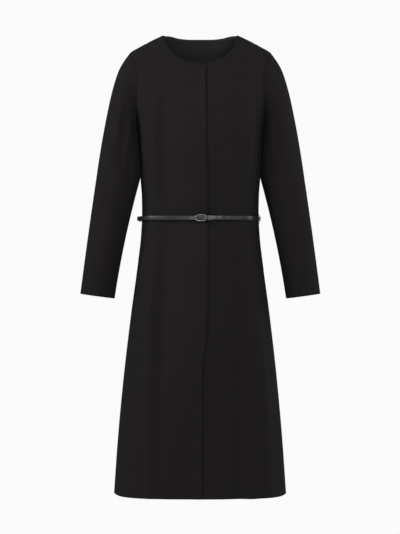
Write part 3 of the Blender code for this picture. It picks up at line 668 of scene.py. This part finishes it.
def body_rows():
    """Drops of the body's rows, closer together where the neck and the armholes curve."""
    quarter = np.linspace(0.0, 0.5 * math.pi, NECK_ROWS)
    neck = NECK_FRONT_DROP * np.sin(quarter)
    armhole = armhole_drop(np.linspace(0.0, math.pi, ARMHOLE_ROWS))
    skirt = np.arange(UNDERARM_DROP, HEM_DROP, ROW_STEP)
    belt = BELT_DROP + 0.5 * BELT_WIDTH * np.array([-1.0, 0.0, 1.0])
    rows = np.unique(np.concatenate([neck, armhole, skirt, belt, [HEM_DROP]]).round(5))
    rows = rows[np.concatenate([[True], np.diff(rows) > ROW_CLOSEST])]
    rows[np.argmin(np.abs(rows - PRINCESS[0, 0]))] = PRINCESS[0, 0]
    return rows


def seam_spaced(length, columns):
    """Even places along a length, with a few more close to both ends."""
    close = np.minimum(SEAM_COLUMNS, length / (columns - 1) * np.array(SEAM_SHARES))
    even = np.linspace(0.0, length, columns)
    return np.concatenate([even[:1], close, even[1:-1], (length - close)[::-1], even[-1:]])


def row_angles(start, stop, rows, columns):
    """Angles of a panel's columns, evenly along each row."""
    fine = start[:, None] + (stop - start)[:, None] * np.linspace(0.0, 1.0, ROW_SAMPLES)
    reach = plain_radius(fine, rows[:, None])
    length = lengths_along(points_of(reach * np.sin(fine), reach * np.cos(fine), 0.0), 1)
    return np.array([np.interp(seam_spaced(run[-1], columns), run, row) for run, row in zip(length, fine)])


def corners_of(mesh):
    corners = np.zeros(len(mesh.loops), int)
    mesh.loops.foreach_get("vertex_index", corners)
    return corners


def make_object(name, verts, faces, material, uvs=None):
    mesh = bpy.data.meshes.new(name)
    mesh.from_pydata([tuple(v) for v in verts], [], faces)
    builder = bmesh.new()
    builder.from_mesh(mesh)
    bmesh.ops.recalc_face_normals(builder, faces=builder.faces)
    builder.to_mesh(mesh)
    builder.free()
    mesh.shade_smooth()
    if uvs is not None:
        layer = mesh.uv_layers.new(name="weave")
        layer.uv.foreach_set("vector", uvs[corners_of(mesh)].astype(np.float32).ravel())
    mesh.materials.append(material)
    piece = bpy.data.objects.new(name, mesh)
    bpy.context.scene.collection.objects.link(piece)
    return piece


def shell(name, outer, inner, finished, material, normals=None):
    """A closed cloth shell; finished sides (first, last column, first, last row) have round edges."""
    rows, columns = outer.shape[:2]
    size = rows * columns
    index = np.arange(size).reshape(rows, columns)
    rim = np.concatenate([index[0], index[1:, -1], index[-1, -2::-1], index[-2:0:-1, 0]])
    i, j = np.divmod(rim, columns)
    near = index[np.clip(i, 1, rows - 2), np.clip(j, 1, columns - 2)]
    sides = (j == 0, j == columns - 1, i == 0, i == rows - 1)
    amount = np.min([np.where(on, done, 1.0) for on, done in zip(sides, finished)], axis=0)
    flat = np.stack([lengths_along(outer, 1), lengths_along(outer, 0)], -1).reshape(-1, 2)
    outer, inner = outer.reshape(-1, 3), inner.reshape(-1, 3)
    away = unit(outer[rim] - outer[near])
    middles = 0.5 * (outer[rim] + inner[rim]) + EDGE_ROUND * CLOTH * amount[:, None] * away
    cells = np.stack([index[:-1, :-1], index[:-1, 1:], index[1:, 1:], index[1:, :-1]], -1).reshape(-1, 4)
    this = 2 * size + np.arange(len(rim))
    following, after = np.roll(this, -1), np.roll(rim, -1)
    upper = np.stack([after, rim, this, following], -1)
    lower = np.stack([following, this, rim + size, after + size], -1)
    faces = np.concatenate([cells, cells[:, ::-1] + size, upper, lower]).tolist()
    verts = np.concatenate([outer, inner, middles])
    piece = make_object(name, verts, faces, material, np.concatenate([flat, flat, flat[rim]]))
    if normals is not None:
        smooth_faces(piece.data, normals.reshape(-1, 3), 2 * len(cells))
    return piece


def smooth_faces(mesh, normals, broad):
    """Gives the broad faces of a shell the surface's own ways out, so that uneven rows don't show."""
    both = np.concatenate([normals, -normals])
    corners = corners_of(mesh)
    ways = np.zeros((len(corners), 3))
    ways[:4 * broad] = both[corners[:4 * broad]]
    mesh.normals_split_custom_set(ways.tolist())


def declare_cloth(piece, nodes):
    """Hangs a cloth piece on the root and hides the frame parts that it stands for."""
    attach(piece, "root")
    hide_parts(*nodes)


def seamed(outer, normals, seams):
    """The outer grid with its seam sides rolled in, and its inner face; seams are first and last column."""
    length = lengths_along(outer, 1)
    sink = seams[0] * bump(length, SEAM_SINK_WIDTH)
    sink = sink + seams[1] * bump(length[:, -1:] - length, SEAM_SINK_WIDTH)
    outer = outer - SEAM_SINK * sink[..., None] * normals
    return outer, outer - CLOTH * normals


def panel(node, side, rows, start, stop, seams, finished, lift=no_lift, fall=hem_fall,
          step=COLUMN_STEP):
    """One body panel between a start and a stop angle on every row."""
    first = start(rows) * np.ones(len(rows))
    last = stop(rows) * np.ones(len(rows))
    widest = float(np.max((last - first) * plain_radius(0.5 * (first + last), rows)))
    angles = row_angles(first, last, rows, max(FEWEST_COLUMNS, round(widest / step))) * side
    drops = rows[:, None] + fall(angles, rows[:, None])
    grid = creased_point(angles, drops, lift)
    normals = surface_normals(angles, drops, lift)
    outer, inner = seamed(grid, normals, seams)
    piece = shell(node + "_cloth", outer, inner, finished, wool, normals)
    declare_cloth(piece, (node + "_bodice", node + "_skirt"))


def underside_across(drop, ahead):
    """The sleeve's underside rests beside the body, then hangs away from it to the cuff."""
    part = (drop - UNDERSIDE_TOP[0]) / (UNDERSIDE_CUFF[0] - UNDERSIDE_TOP[0])
    hanging = UNDERSIDE_TOP[1] + (UNDERSIDE_CUFF[1] - UNDERSIDE_TOP[1]) * part
    hanging = hanging + UNDERSIDE_BOW * 4.0 * part * (1.0 - part)
    beside = flank(-ahead, drop) + SLEEVE_CLEARANCE
    return 0.5 * (hanging + beside + np.hypot(hanging - beside, UNDERSIDE_BEND))


def armhole_point(angle):
    """The armhole edge on the +X side, from the shoulder point round its front (minus) and back (plus)."""
    drop = armhole_drop(angle)
    depth = np.where(np.sin(angle) < 0.0, ARMHOLE_FRONT, ARMHOLE_BACK) * np.sin(angle)
    return points_of(flank(depth, drop), depth, -drop)


def sleeve_point(along, angle):
    """A point of the +X sleeve's outer face; angle 0 is its outer line and half a turn its underside."""
    low = inner_drop(along)
    outer = points_of(outer_across(along), 0.0, -outer_drop(along))
    under = points_of(underside_across(low, forward(along)), 0.0, -low)
    depth = half_depth(along)
    for degrees, width, start, finish, sink in SLEEVE_FOLDS:
        run = np.clip((along - start) / (finish - start), 0.0, 1.0)
        past = turn(angle - math.radians(degrees))
        depth = depth - sink * np.sin(math.pi * run) ** CREASE_POWER * bump(past, math.radians(width))
    sideways = points_of(0.0, depth * np.sin(angle) - forward(along), 0.0)
    ring = 0.5 * (outer + under) + 0.5 * (outer - under) * np.cos(angle)[..., None] + sideways
    keep = ease(along / ARMHOLE_BLEND)[..., None]
    return keep * ring + (1.0 - keep) * armhole_point(angle)


def sleeve(node, side, start, stop):
    length = np.concatenate([[0.0], np.linspace(0.0, 1.0, SLEEVE_ROWS) ** SLEEVE_ROW_POWER])
    columns = round((stop - start) * SLEEVE_REACH / COLUMN_STEP) + 1
    turns = start + seam_spaced((stop - start) * SLEEVE_REACH, columns) / SLEEVE_REACH
    along, angles = np.meshgrid(length, turns, indexing="ij")
    grid = sleeve_point(along, angles)
    upper, under = (sleeve_point(along, np.full_like(angles, turned)) for turned in (0.0, math.pi))
    opposite = 0.5 * (upper + under)
    grid = grid + SLEEVE_UNDER * bump(along, SLEEVE_UNDER_RUN)[..., None] * unit(opposite - grid)
    grid[0] = grid[0] + TUCK_IN * (opposite[0] - grid[0]) - np.array([TUCK, 0.0, 0.0])
    opposite[0] = opposite[0] - np.array([TUCK, 0.0, 0.0])
    normals = grid_normals(grid, opposite)
    crease = creases(SLEEVE_CREASES, angles, along, half_depth(along), CREASE_POWER)
    flip = np.array([side, 1.0, 1.0])
    outer = (grid + crease[..., None] * normals) * flip
    outer, inner = seamed(outer, grid_normals(outer, opposite * flip), (1.0, 1.0))
    piece = shell(node + "_cloth", outer, inner, (0.0, 0.0, 0.0, 1.0), wool)
    declare_cloth(piece, (node,))


def facing():
    """The band inside the back neck, made from the back's own points, moved in."""
    rows = body_rows()
    rows = rows[rows <= FACING_DEPTH]
    start = side_angle(rows, 1.0)
    half = row_angles(start, np.full(len(rows), math.pi), rows, FACING_COLUMNS)[:, FACING_FIRST_COLUMN:]
    angles = np.concatenate([half, 2.0 * math.pi - half[:, -2::-1]], axis=1)
    grid = creased_point(angles, rows[:, None] + back_neck_fall(angles, rows[:, None]))
    normals = grid_normals(grid, grid * UP)
    outer = grid - (CLOTH + FACING_CLEAR) * normals
    inner = outer - FACING_CLOTH * normals
    # The facing wears the lighter copy of the wool: painted light inside the back neck.
    piece = shell("back_neck_facing_cloth", outer, inner, (0.0, 0.0, 1.0, 1.0), facing_wool_painted_light)
    declare_cloth(piece, ("back_neck_facing",))


def belt_lift(angle, drop):
    """The belt clears the lapped front on both sides of the middle."""
    return LAP * ease((LAP_FADE - np.abs(across_at(angle, drop))) / (LAP_FADE - LAP_FULL))


def buckle_lift(place):
    first, last = BUCKLE_RAISED
    return BUCKLE_LIFT * ease((place - first) / BUCKLE_RAMP) * ease((last - place) / BUCKLE_RAMP)


def belt_ground(angle):
    """Points level with the belt's middle, as far out as the cloth at its lower edge, and the ways out."""
    drop = BELT_DROP + 0.5 * BELT_WIDTH
    point = body_point(angle, drop, belt_lift)
    point[..., 2] = -BELT_DROP
    ahead = body_point(angle + TURN_STEP, drop, belt_lift) - body_point(angle - TURN_STEP, drop, belt_lift)
    return point, unit(np.cross(ahead, UP))


def front_spot(place, out, rise=0.0):
    """Points near the buckle, from places across, distances out and rises above the belt's middle."""
    place = np.asarray(place, float)
    point, way = belt_ground(angle_across(place, BELT_DROP))
    reach = np.asarray(out + buckle_lift(place), float)
    return point + way * reach[..., None] + points_of(0.0, 0.0, np.asarray(rise, float))


first_layer = BELT_CLEAR + 0.5 * BELT_THICK
wrap_radius = BAR_RADIUS + SEAM + 0.5 * BELT_THICK
bar_out = first_layer + wrap_radius
second_layer = first_layer + BELT_THICK + SEAM
over_bar = bar_out + wrap_radius
under_frame = first_layer + UNDER_FRAME_RISE
third_layer = second_layer + BELT_THICK
fixed_end_out = columns_of(np.array([
    # place across the front, distance of the fixed end's middle from the cloth
    (BAR_PLACE, over_bar),
    (BAR_PLACE + LAYERS_CLOSE, second_layer + LAYER_SLACK),
    (FOLD_BACK_END, second_layer),
    (FOLD_BACK_END + FOLD_BACK_FADE, first_layer),
    (WAIST_START, first_layer),
]))[0]
tongue_out = columns_of(np.array([
    # place across the front, distance of the tongue's middle from the cloth
    (TONGUE_START, first_layer),
    (TONGUE_LEVEL, first_layer),
    (TONGUE_UNDER_FRAME, under_frame),
    (BAR_PLACE - TONGUE_TOP, over_bar + BELT_THICK - LAYER_SLACK),
    (BAR_PLACE, over_bar + BELT_THICK + 2.5 * LAYER_SLACK),
    (BAR_PLACE + LAYERS_CLOSE, third_layer + 4.0 * LAYER_SLACK),
    (FOLD_BACK_END, third_layer + 2.5 * LAYER_SLACK),
    (TIP_PLACE + LAYERS_CLOSE, third_layer),
]))[0]
frame_end_out = under_frame + 0.5 * BELT_THICK + SEAM + FRAME_RADIUS


def strap_path():
    """The belt's middle line: fold back, round the bar, round the waist, through the buckle to the tip."""
    folded = np.linspace(FOLD_BACK_END - BAR_RADIUS, BAR_PLACE + BAR_RADIUS, FOLD_BACK_ROWS)
    wrapped = np.radians(np.arange(-90.0, -271.0, -WRAP_STEP))
    fixed = np.linspace(BAR_PLACE + 3.0 * BAR_RADIUS, FIXED_FINISH, FIXED_ROWS)
    start = angle_across(WAIST_START, BELT_DROP)
    finish = 2.0 * math.pi + angle_across(WAIST_FINISH, BELT_DROP)
    waist = np.linspace(start, finish, WAIST_ROWS)
    tongue = np.linspace(TONGUE_START, TIP_PLACE, TONGUE_ROWS)
    ground, way = belt_ground(waist)
    return np.concatenate([
        front_spot(folded, first_layer),
        front_spot(BAR_PLACE + wrap_radius * np.cos(wrapped), bar_out + wrap_radius * np.sin(wrapped)),
        front_spot(fixed, fixed_end_out(fixed)),
        ground + way * (first_layer + stand_off(np.degrees(waist)))[:, None],
        front_spot(tongue, tongue_out(tongue)),
    ])


def round_box(half_wide, half_thick, radius, crown=0.0):
    """(Across, out) pairs of a flat section with round edges; its faces fall by the crown to the edges."""
    section = []
    for quarter, (wide, thick) in enumerate(((1, 1), (-1, 1), (-1, -1), (1, -1))):
        for part in np.linspace(0.0, 0.5 * math.pi, EDGE_CORNERS):
            turned = quarter * 0.5 * math.pi + part
            section.append((wide * (half_wide - radius) + radius * math.cos(turned),
                            thick * (half_thick - crown - radius) + radius * math.sin(turned)))
        if quarter in (0, 2):
            for share in CROWN_SHARES:
                section.append((wide * share * half_wide, thick * (half_thick - crown * share ** 2)))
    return np.array(section)


def sweep(name, path, across, out, sections, material, ring=False):
    """A closed solid through sections of (across, out) pairs set on a path."""
    pairs = np.asarray(sections)
    verts = path[:, None] + across[:, None] * pairs[..., :1] + out[:, None] * pairs[..., 1:]
    index = np.arange(pairs[..., 0].size).reshape(pairs.shape[:2])
    here, there = (index, np.roll(index, -1, axis=0)) if ring else (index[:-1], index[1:])
    corners = [here, np.roll(here, -1, axis=1), np.roll(there, -1, axis=1), there]
    faces = np.stack(corners, -1).reshape(-1, 4).tolist()
    if not ring:
        faces += [index[0, ::-1].tolist(), index[-1].tolist()]
    return make_object(name, verts.reshape(-1, 3), faces, material)


def settle(piece, node):
    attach(piece, "root")
    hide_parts(node)


def strap():
    path = strap_path()
    out = unit(np.cross(np.gradient(path, axis=0), UP))
    from_tip = lengths_along(path[::-1], 0)[::-1]
    shape = np.sqrt(np.clip(TIP_BLUNT + from_tip / TIP_TAPER, 0.0, 1.0))
    sections = [round_box(0.5 * BELT_WIDTH * s, 0.5 * BELT_THICK, STRAP_EDGE, STRAP_CROWN) for s in shape]
    piece = sweep("belt_strap_leather", path, np.tile(UP, (len(path), 1)), out, sections, leather)
    punch_hole(piece, tongue_out(PRONG_HOLE))
    settle(piece, "belt_strap")


def punch_hole(piece, middle):
    """The tongue's hole that the prong comes up through."""
    ends = front_spot(np.full(2, PRONG_HOLE), middle + np.array(PUNCH_REACH))
    punch = rod("punch", ends, np.full(2, HOLE_RADIUS), leather)
    cut = piece.modifiers.new("hole", "BOOLEAN")
    cut.operation = "DIFFERENCE"
    cut.object = punch
    bpy.context.view_layer.update()
    shaped = piece.evaluated_get(bpy.context.evaluated_depsgraph_get())
    whole, piece.data = piece.data, bpy.data.meshes.new_from_object(shaped)
    piece.modifiers.clear()
    bpy.data.objects.remove(punch)
    bpy.data.meshes.remove(whole)


def steps_along(path, ring):
    return np.roll(path, -1, axis=0) - np.roll(path, 1, axis=0) if ring else np.gradient(path, axis=0)


def band(name, path, way, section, material, ring=False):
    """A flat band of one section along a path in a plane upright to the belt."""
    along = np.tile(unit(np.cross(UP, way)), (len(path), 1))
    out = unit(np.cross(steps_along(path, ring), along))
    return sweep(name, path, along, out, [section] * len(path), material, ring)


def rod(name, path, radius, material, ring=False):
    """A round rod along a path near the buckle."""
    ahead = unit(steps_along(path, ring))
    first = unit(np.cross(ahead, belt_ground(np.array(0.0))[1]))
    turns = np.linspace(0.0, 2.0 * math.pi, ROD_SIDES, endpoint=False)
    sections = [radius[i] * np.stack([np.cos(turns), np.sin(turns)], -1) for i in range(len(path))]
    return sweep(name, path, first, np.cross(ahead, first), sections, material, ring)


def smooth_path(points, count, ring=False):
    """A rounder path through a few points."""
    points = np.asarray(points)
    if ring:
        points = np.concatenate([points[-2:], points, points[:3]])
    length = lengths_along(points, 0)
    start, stop = (length[2], length[-3]) if ring else (length[0], length[-1])
    places = np.linspace(start, stop, count, endpoint=not ring)
    return np.stack([Profile(length, points[:, k])(places) for k in range(points.shape[1])], -1)


def buckle_frame():
    """The buckle frame: a straight bar, two arms and a rounded end."""
    arm = np.linspace(BAR_PLACE - FRAME_CORNER, FRAME_ROUND_START, ARM_POINTS)
    corner_rise = 0.5 * (BAR_HALF + FRAME_HALF_HEIGHT) + 0.25 * BAR_RADIUS
    rows = [(BAR_PLACE, rise) for rise in np.linspace(-BAR_HALF, BAR_HALF, BAR_POINTS)]
    rows.append((BAR_PLACE - FRAME_CORNER_IN, corner_rise))
    rows += [(place, FRAME_HALF_HEIGHT) for place in arm]
    for turned in np.linspace(0.5 * math.pi, 1.5 * math.pi, ROUND_POINTS)[1:-1]:
        place = FRAME_ROUND_START + (FRAME_ROUND_START - FRAME_END) * math.cos(turned)
        rows.append((place, FRAME_HALF_HEIGHT * math.sin(turned)))
    rows += [(place, -FRAME_HALF_HEIGHT) for place in arm[::-1]]
    rows.append((BAR_PLACE - FRAME_CORNER_IN, -corner_rise))
    place, rise = np.array(rows).T
    part = ease((BAR_PLACE - place) / (BAR_PLACE - FRAME_END))
    spots = front_spot(place, bar_out + (frame_end_out - bar_out) * part, rise)
    path = smooth_path(spots, FRAME_ROWS, ring=True)
    piece = rod("belt_buckle_frame_metal", path, np.full(len(path), FRAME_RADIUS), metal, ring=True)
    settle(piece, "belt_buckle_frame")


def prong():
    """The prong comes up through the tongue and lies on the frame's rounded end."""
    rest = frame_end_out + FRAME_RADIUS + SEAM + PRONG_RADIUS
    above = tongue_out(PRONG_HOLE) + 0.5 * BELT_THICK + SEAM + PRONG_RADIUS
    below = tongue_out(PRONG_HOLE) - 0.5 * BELT_THICK - PRONG_ROOT
    spots = np.array((
        (PRONG_HOLE + 1.2 * PRONG_RADIUS, below),
        (PRONG_HOLE + 0.7 * PRONG_RADIUS, 0.5 * (below + above)),
        (PRONG_HOLE - 0.6 * PRONG_RADIUS, above - 0.5 * LAYER_SLACK),
        (PRONG_HOLE - 4.3 * PRONG_RADIUS, above + LAYER_SLACK),
        (FRAME_ROUND_START, 0.5 * (above + rest) + 3.0 * LAYER_SLACK),
        (FRAME_END, rest + 0.5 * LAYER_SLACK),
        (FRAME_END - PRONG_OVERHANG, rest - 0.5 * LAYER_SLACK),
    ))
    path = smooth_path(front_spot(spots[:, 0], spots[:, 1]), PRONG_ROWS)
    taper = PRONG_RADIUS * np.sqrt(np.clip(np.linspace(*PRONG_TAPER, PRONG_ROWS), 0.0, 1.0))
    settle(rod("belt_prong_metal", path, taper, metal), "belt_prong")


def keeper():
    """A flat band round the strap's layers beside the buckle."""
    low = first_layer - 0.5 * BELT_THICK - SEAM
    high = tongue_out(KEEPER_PLACE - 0.5 * KEEPER_WIDTH) + 0.5 * BELT_THICK + SEAM
    half = 0.5 * BELT_WIDTH + SEAM
    middle = 0.5 * (low + high)
    corners = round_box(half + 0.5 * KEEPER_THICK, 0.5 * (high - low + KEEPER_THICK), KEEPER_CORNER)
    place = np.full(len(corners), KEEPER_PLACE)
    path = front_spot(place, middle + corners[:, 1], corners[:, 0])
    way = belt_ground(angle_across(KEEPER_PLACE, BELT_DROP))[1]
    section = round_box(0.5 * KEEPER_WIDTH, 0.5 * KEEPER_THICK, KEEPER_EDGE)
    piece = band("belt_keeper_leather", path, way, section, leather, ring=True)
    settle(piece, "belt_keeper")


def carrier(node, degrees):
    """A narrow loop sewn to the cloth above and below the belt."""
    angle = np.array(math.radians(degrees))
    reach = float(stand_off(degrees)) + BELT_CLEAR + BELT_THICK + CARRIER_CLEAR + 0.5 * CARRIER_THICK
    close = 0.5 * BELT_WIDTH + 2.0 * SEAM + 0.5 * CARRIER_THICK
    foot = SEAM + 0.5 * CARRIER_THICK
    upper = (
        (foot, CARRIER_RISE + CARRIER_SEWN),
        (foot, CARRIER_RISE),
        (0.5 * (foot + reach), close + CARRIER_BEND),
        (reach - CARRIER_BEND, close),
        (reach, close - CARRIER_BEND),
    )
    spots = np.array(upper + ((reach, 0.0),) + tuple((o, -r) for o, r in upper[::-1]))
    way = belt_ground(angle)[1]
    path = smooth_path(body_point(angle, BELT_DROP - spots[:, 1]) + way * spots[:, :1], CARRIER_ROWS)
    section = round_box(0.5 * CARRIER_WIDTH, 0.5 * CARRIER_THICK, CARRIER_EDGE)
    settle(band(node + "_cloth", path, way, section, wool), node)


def new_material(name):
    material = bpy.data.materials.new(name)
    material.use_nodes = True
    tree = material.node_tree
    return material, tree, tree.nodes["Principled BSDF"]


def fill(tree, node, inputs):
    """Sets or links a node's inputs by name."""
    for key, value in inputs.items():
        if isinstance(value, bpy.types.NodeSocket):
            tree.links.new(value, node.inputs[key])
        else:
            node.inputs[key].default_value = value


def add_node(tree, kind, inputs=None, **settings):
    node = tree.nodes.new(kind)
    for key, value in settings.items():
        setattr(node, key, value)
    fill(tree, node, inputs or {})
    return node


def noise(tree, coordinates, scale, detail=2.0, roughness=0.5):
    inputs = {"Vector": coordinates, "Scale": scale, "Detail": detail, "Roughness": roughness}
    return add_node(tree, "ShaderNodeTexNoise", inputs).outputs["Fac"]


def span(tree, value, low, high, start=0.3, stop=0.7):
    """The value between start and stop, spread over low to high."""
    inputs = {"Value": value, "From Min": start, "From Max": stop, "To Min": low, "To Max": high}
    return add_node(tree, "ShaderNodeMapRange", inputs).outputs["Result"]


def tones(tree, value, dark, light):
    """A colour between two tones."""
    node = add_node(tree, "ShaderNodeMix", {"Factor": value}, data_type="RGBA")
    first, second = [socket for socket in node.inputs if socket.type == "RGBA"]
    first.default_value = (*dark, 1.0)
    second.default_value = (*light, 1.0)
    return [socket for socket in node.outputs if socket.type == "RGBA"][0]


def relief_of(tree, height, depth, under=None):
    """A bump of a given depth, on top of another bump."""
    inputs = {"Strength": 1.0, "Distance": depth, "Height": height}
    if under is not None:
        inputs["Normal"] = under
    return add_node(tree, "ShaderNodeBump", inputs).outputs["Normal"]


def own_place(tree):
    return add_node(tree, "ShaderNodeTexCoord").outputs["Object"]


def stretched(tree, scale):
    return add_node(tree, "ShaderNodeMapping", {"Vector": own_place(tree), "Scale": scale}).outputs["Vector"]


def wool_material(name, dark, light):
    """Brushed black wool: faint mottling, fibres over a fine twill, and a soft nap."""
    material, tree, shader = new_material(name)
    mottle = span(tree, noise(tree, own_place(tree), MOTTLE_SCALE, 4.0, 0.6), *MOTTLE_RANGE)
    fibre = noise(tree, stretched(tree, FIBRE_LIE), FIBRE_SCALE, 3.0, 0.65)
    weave = add_node(tree, "ShaderNodeUVMap", uv_map="weave").outputs["UV"]
    slant = {"Vector": weave, "Scale": TWILL_SCALE, "Distortion": 2.0, "Detail": 1.0, "Detail Scale": 3.0}
    twill = add_node(tree, "ShaderNodeTexWave", slant, bands_direction="DIAGONAL")
    both = add_node(tree, "ShaderNodeMath", {0: mottle, 1: fibre}, operation="ADD")
    ribs = relief_of(tree, twill.outputs["Fac"], TWILL_HEIGHT)
    fill(tree, shader, {
        "Base Color": tones(tree, span(tree, both.outputs[0], 0.0, 1.0, *TONE_RANGE), dark, light),
        "Roughness": span(tree, fibre, *WOOL_ROUGHNESS),
        "Normal": relief_of(tree, fibre, FIBRE_HEIGHT, ribs),
        "Specular IOR Level": WOOL_SPECULAR,
        "Sheen Weight": WOOL_SHEEN,
        "Sheen Roughness": SHEEN_ROUGHNESS,
        "Sheen Tint": SHEEN_TINT,
    })
    return material


def leather_material():
    """Smooth black leather with a fine pebbled grain and faint wear."""
    material, tree, shader = new_material("black_belt_leather")
    place = own_place(tree)
    cells = {"Vector": place, "Scale": PEBBLE_SCALE}
    pebble = add_node(tree, "ShaderNodeTexVoronoi", cells, feature="SMOOTH_F1")
    wear = noise(tree, place, WEAR_SCALE, 4.0, 0.6)
    grain = relief_of(tree, pebble.outputs["Distance"], PEBBLE_HEIGHT)
    fill(tree, shader, {
        "Base Color": tones(tree, span(tree, wear, 0.0, 1.0), LEATHER_DARK, LEATHER_LIGHT),
        "Roughness": span(tree, wear, *LEATHER_ROUGHNESS),
        "Normal": relief_of(tree, wear, WEAR_HEIGHT, grain),
        "Specular IOR Level": LEATHER_SPECULAR,
    })
    return material


def metal_material():
    """Polished metal with faint fine scratches."""
    material, tree, shader = new_material("polished_buckle_metal")
    scratch = noise(tree, stretched(tree, SCRATCH_LIE), SCRATCH_SCALE, 3.0, 0.6)
    cloud = noise(tree, own_place(tree), CLOUD_SCALE, 3.0)
    fill(tree, shader, {
        "Base Color": tones(tree, span(tree, cloud, 0.0, 1.0), METAL_DARK, METAL_LIGHT),
        "Roughness": span(tree, scratch, *METAL_ROUGHNESS),
        "Normal": relief_of(tree, scratch, SCRATCH_HEIGHT),
        "Metallic": 1.0,
    })
    return material


wool = wool_material("black_wool_cloth", WOOL_DARK, WOOL_LIGHT)
# The facing's copy of the wool is painted lighter: painted light for the inside of the back neck.
facing_wool_painted_light = wool_material("black_wool_facing_painted_light", PAINTED_LIGHT_FACING_LOW, PAINTED_LIGHT_FACING_HIGH)
leather = leather_material()
metal = metal_material()

rows = body_rows()
side_rows = rows[rows >= PRINCESS[0, 0]]
panel("front_right", -1.0, rows, lambda d: front_start(d, -front_edge(d)), front_stop, (0.0, 1.0),
      (1.0, 0.0, 0.0, 1.0), lap_lift)
panel("front_left", 1.0, rows, lambda d: front_start(d, UNDER_EDGE), front_stop, (0.0, 1.0),
      (1.0, 0.0, 0.0, 1.0), under_groove, step=GROOVE_STEP)
sleeve_seam = SLEEVE_SEAM_STEPS * math.pi / ARMHOLE_STEPS
for side, word in ((-1.0, "right"), (1.0, "left")):
    panel("side_front_" + word, side, side_rows, princess_angle, lambda d: side_angle(d, -1.0),
          (1.0, 1.0), (0.0, 0.0, 0.0, 1.0))
    panel("back_" + word, side, rows, lambda d: side_angle(d, 1.0), lambda d: math.pi,
          (1.0, 1.0), (0.0, 0.0, 1.0, 1.0), fall=back_neck_fall)
    sleeve("sleeve_upper_" + word, side, -sleeve_seam, sleeve_seam)
    sleeve("sleeve_under_" + word, side, sleeve_seam, 2.0 * math.pi - sleeve_seam)
facing()
strap()
buckle_frame()
prong()
keeper()
for node, degrees in CARRIER_ANGLES.items():
    carrier(node, degrees)


def make_floor():
    """A round pale floor under the coat."""
    turns = np.linspace(0.0, 2.0 * math.pi, FLOOR_SIDES, endpoint=False)
    rim = points_of(FLOOR_RADIUS * np.cos(turns), FLOOR_RADIUS * np.sin(turns), -FLOOR_DROP)
    material, tree, shader = new_material("pale_floor")
    fill(tree, shader, {"Base Color": FLOOR_COLOUR, "Roughness": 1.0, "Specular IOR Level": 0.0})
    make_object("floor", rim, [list(range(FLOOR_SIDES))], material)


def soft_light(name, place, aim, width, height, power, spread):
    lamp = bpy.data.lights.new(name, "AREA")
    lamp.shape = "RECTANGLE"
    lamp.size = width
    lamp.size_y = height
    lamp.energy = power
    lamp.spread = math.radians(spread)
    holder = bpy.data.objects.new(name, lamp)
    holder.location = place
    way = np.array(aim, float) - np.array(place, float)
    yaw = math.atan2(way[0], -way[1])
    pitch = math.atan2(math.hypot(way[0], way[1]), -way[2])
    holder.rotation_euler = (pitch, 0.0, yaw + math.pi)
    bpy.context.scene.collection.objects.link(holder)


def make_world():
    world = bpy.data.worlds.new("white_room")
    world.use_nodes = True
    tree = world.node_tree
    seen = add_node(tree, "ShaderNodeLightPath").outputs["Is Camera Ray"]
    strength = span(tree, seen, ROOM_LIGHT, BACKGROUND_LIGHT, 0.0, 1.0)
    fill(tree, tree.nodes["Background"], {"Color": (1.0, 1.0, 1.0, 1.0), "Strength": strength})
    bpy.context.scene.world = world


def make_camera():
    """A level camera far enough off that the coat's sides stay nearly parallel."""
    lens = bpy.data.cameras.new("camera")
    lens.sensor_fit = "VERTICAL"
    lens.sensor_height = SENSOR_HEIGHT
    lens.lens = SENSOR_HEIGHT * CAMERA_DISTANCE / FRAME_HEIGHT
    camera = bpy.data.objects.new("camera", lens)
    camera.location = (CAMERA_ACROSS, -CAMERA_DISTANCE, -CAMERA_DROP)
    camera.rotation_euler = (0.5 * math.pi, 0.0, 0.0)
    bpy.context.scene.collection.objects.link(camera)
    bpy.context.scene.camera = camera


make_floor()
make_world()
for lamp_row in LIGHTS:
    soft_light(*lamp_row)
make_camera()
bpy.context.scene.view_settings.view_transform = "Standard"
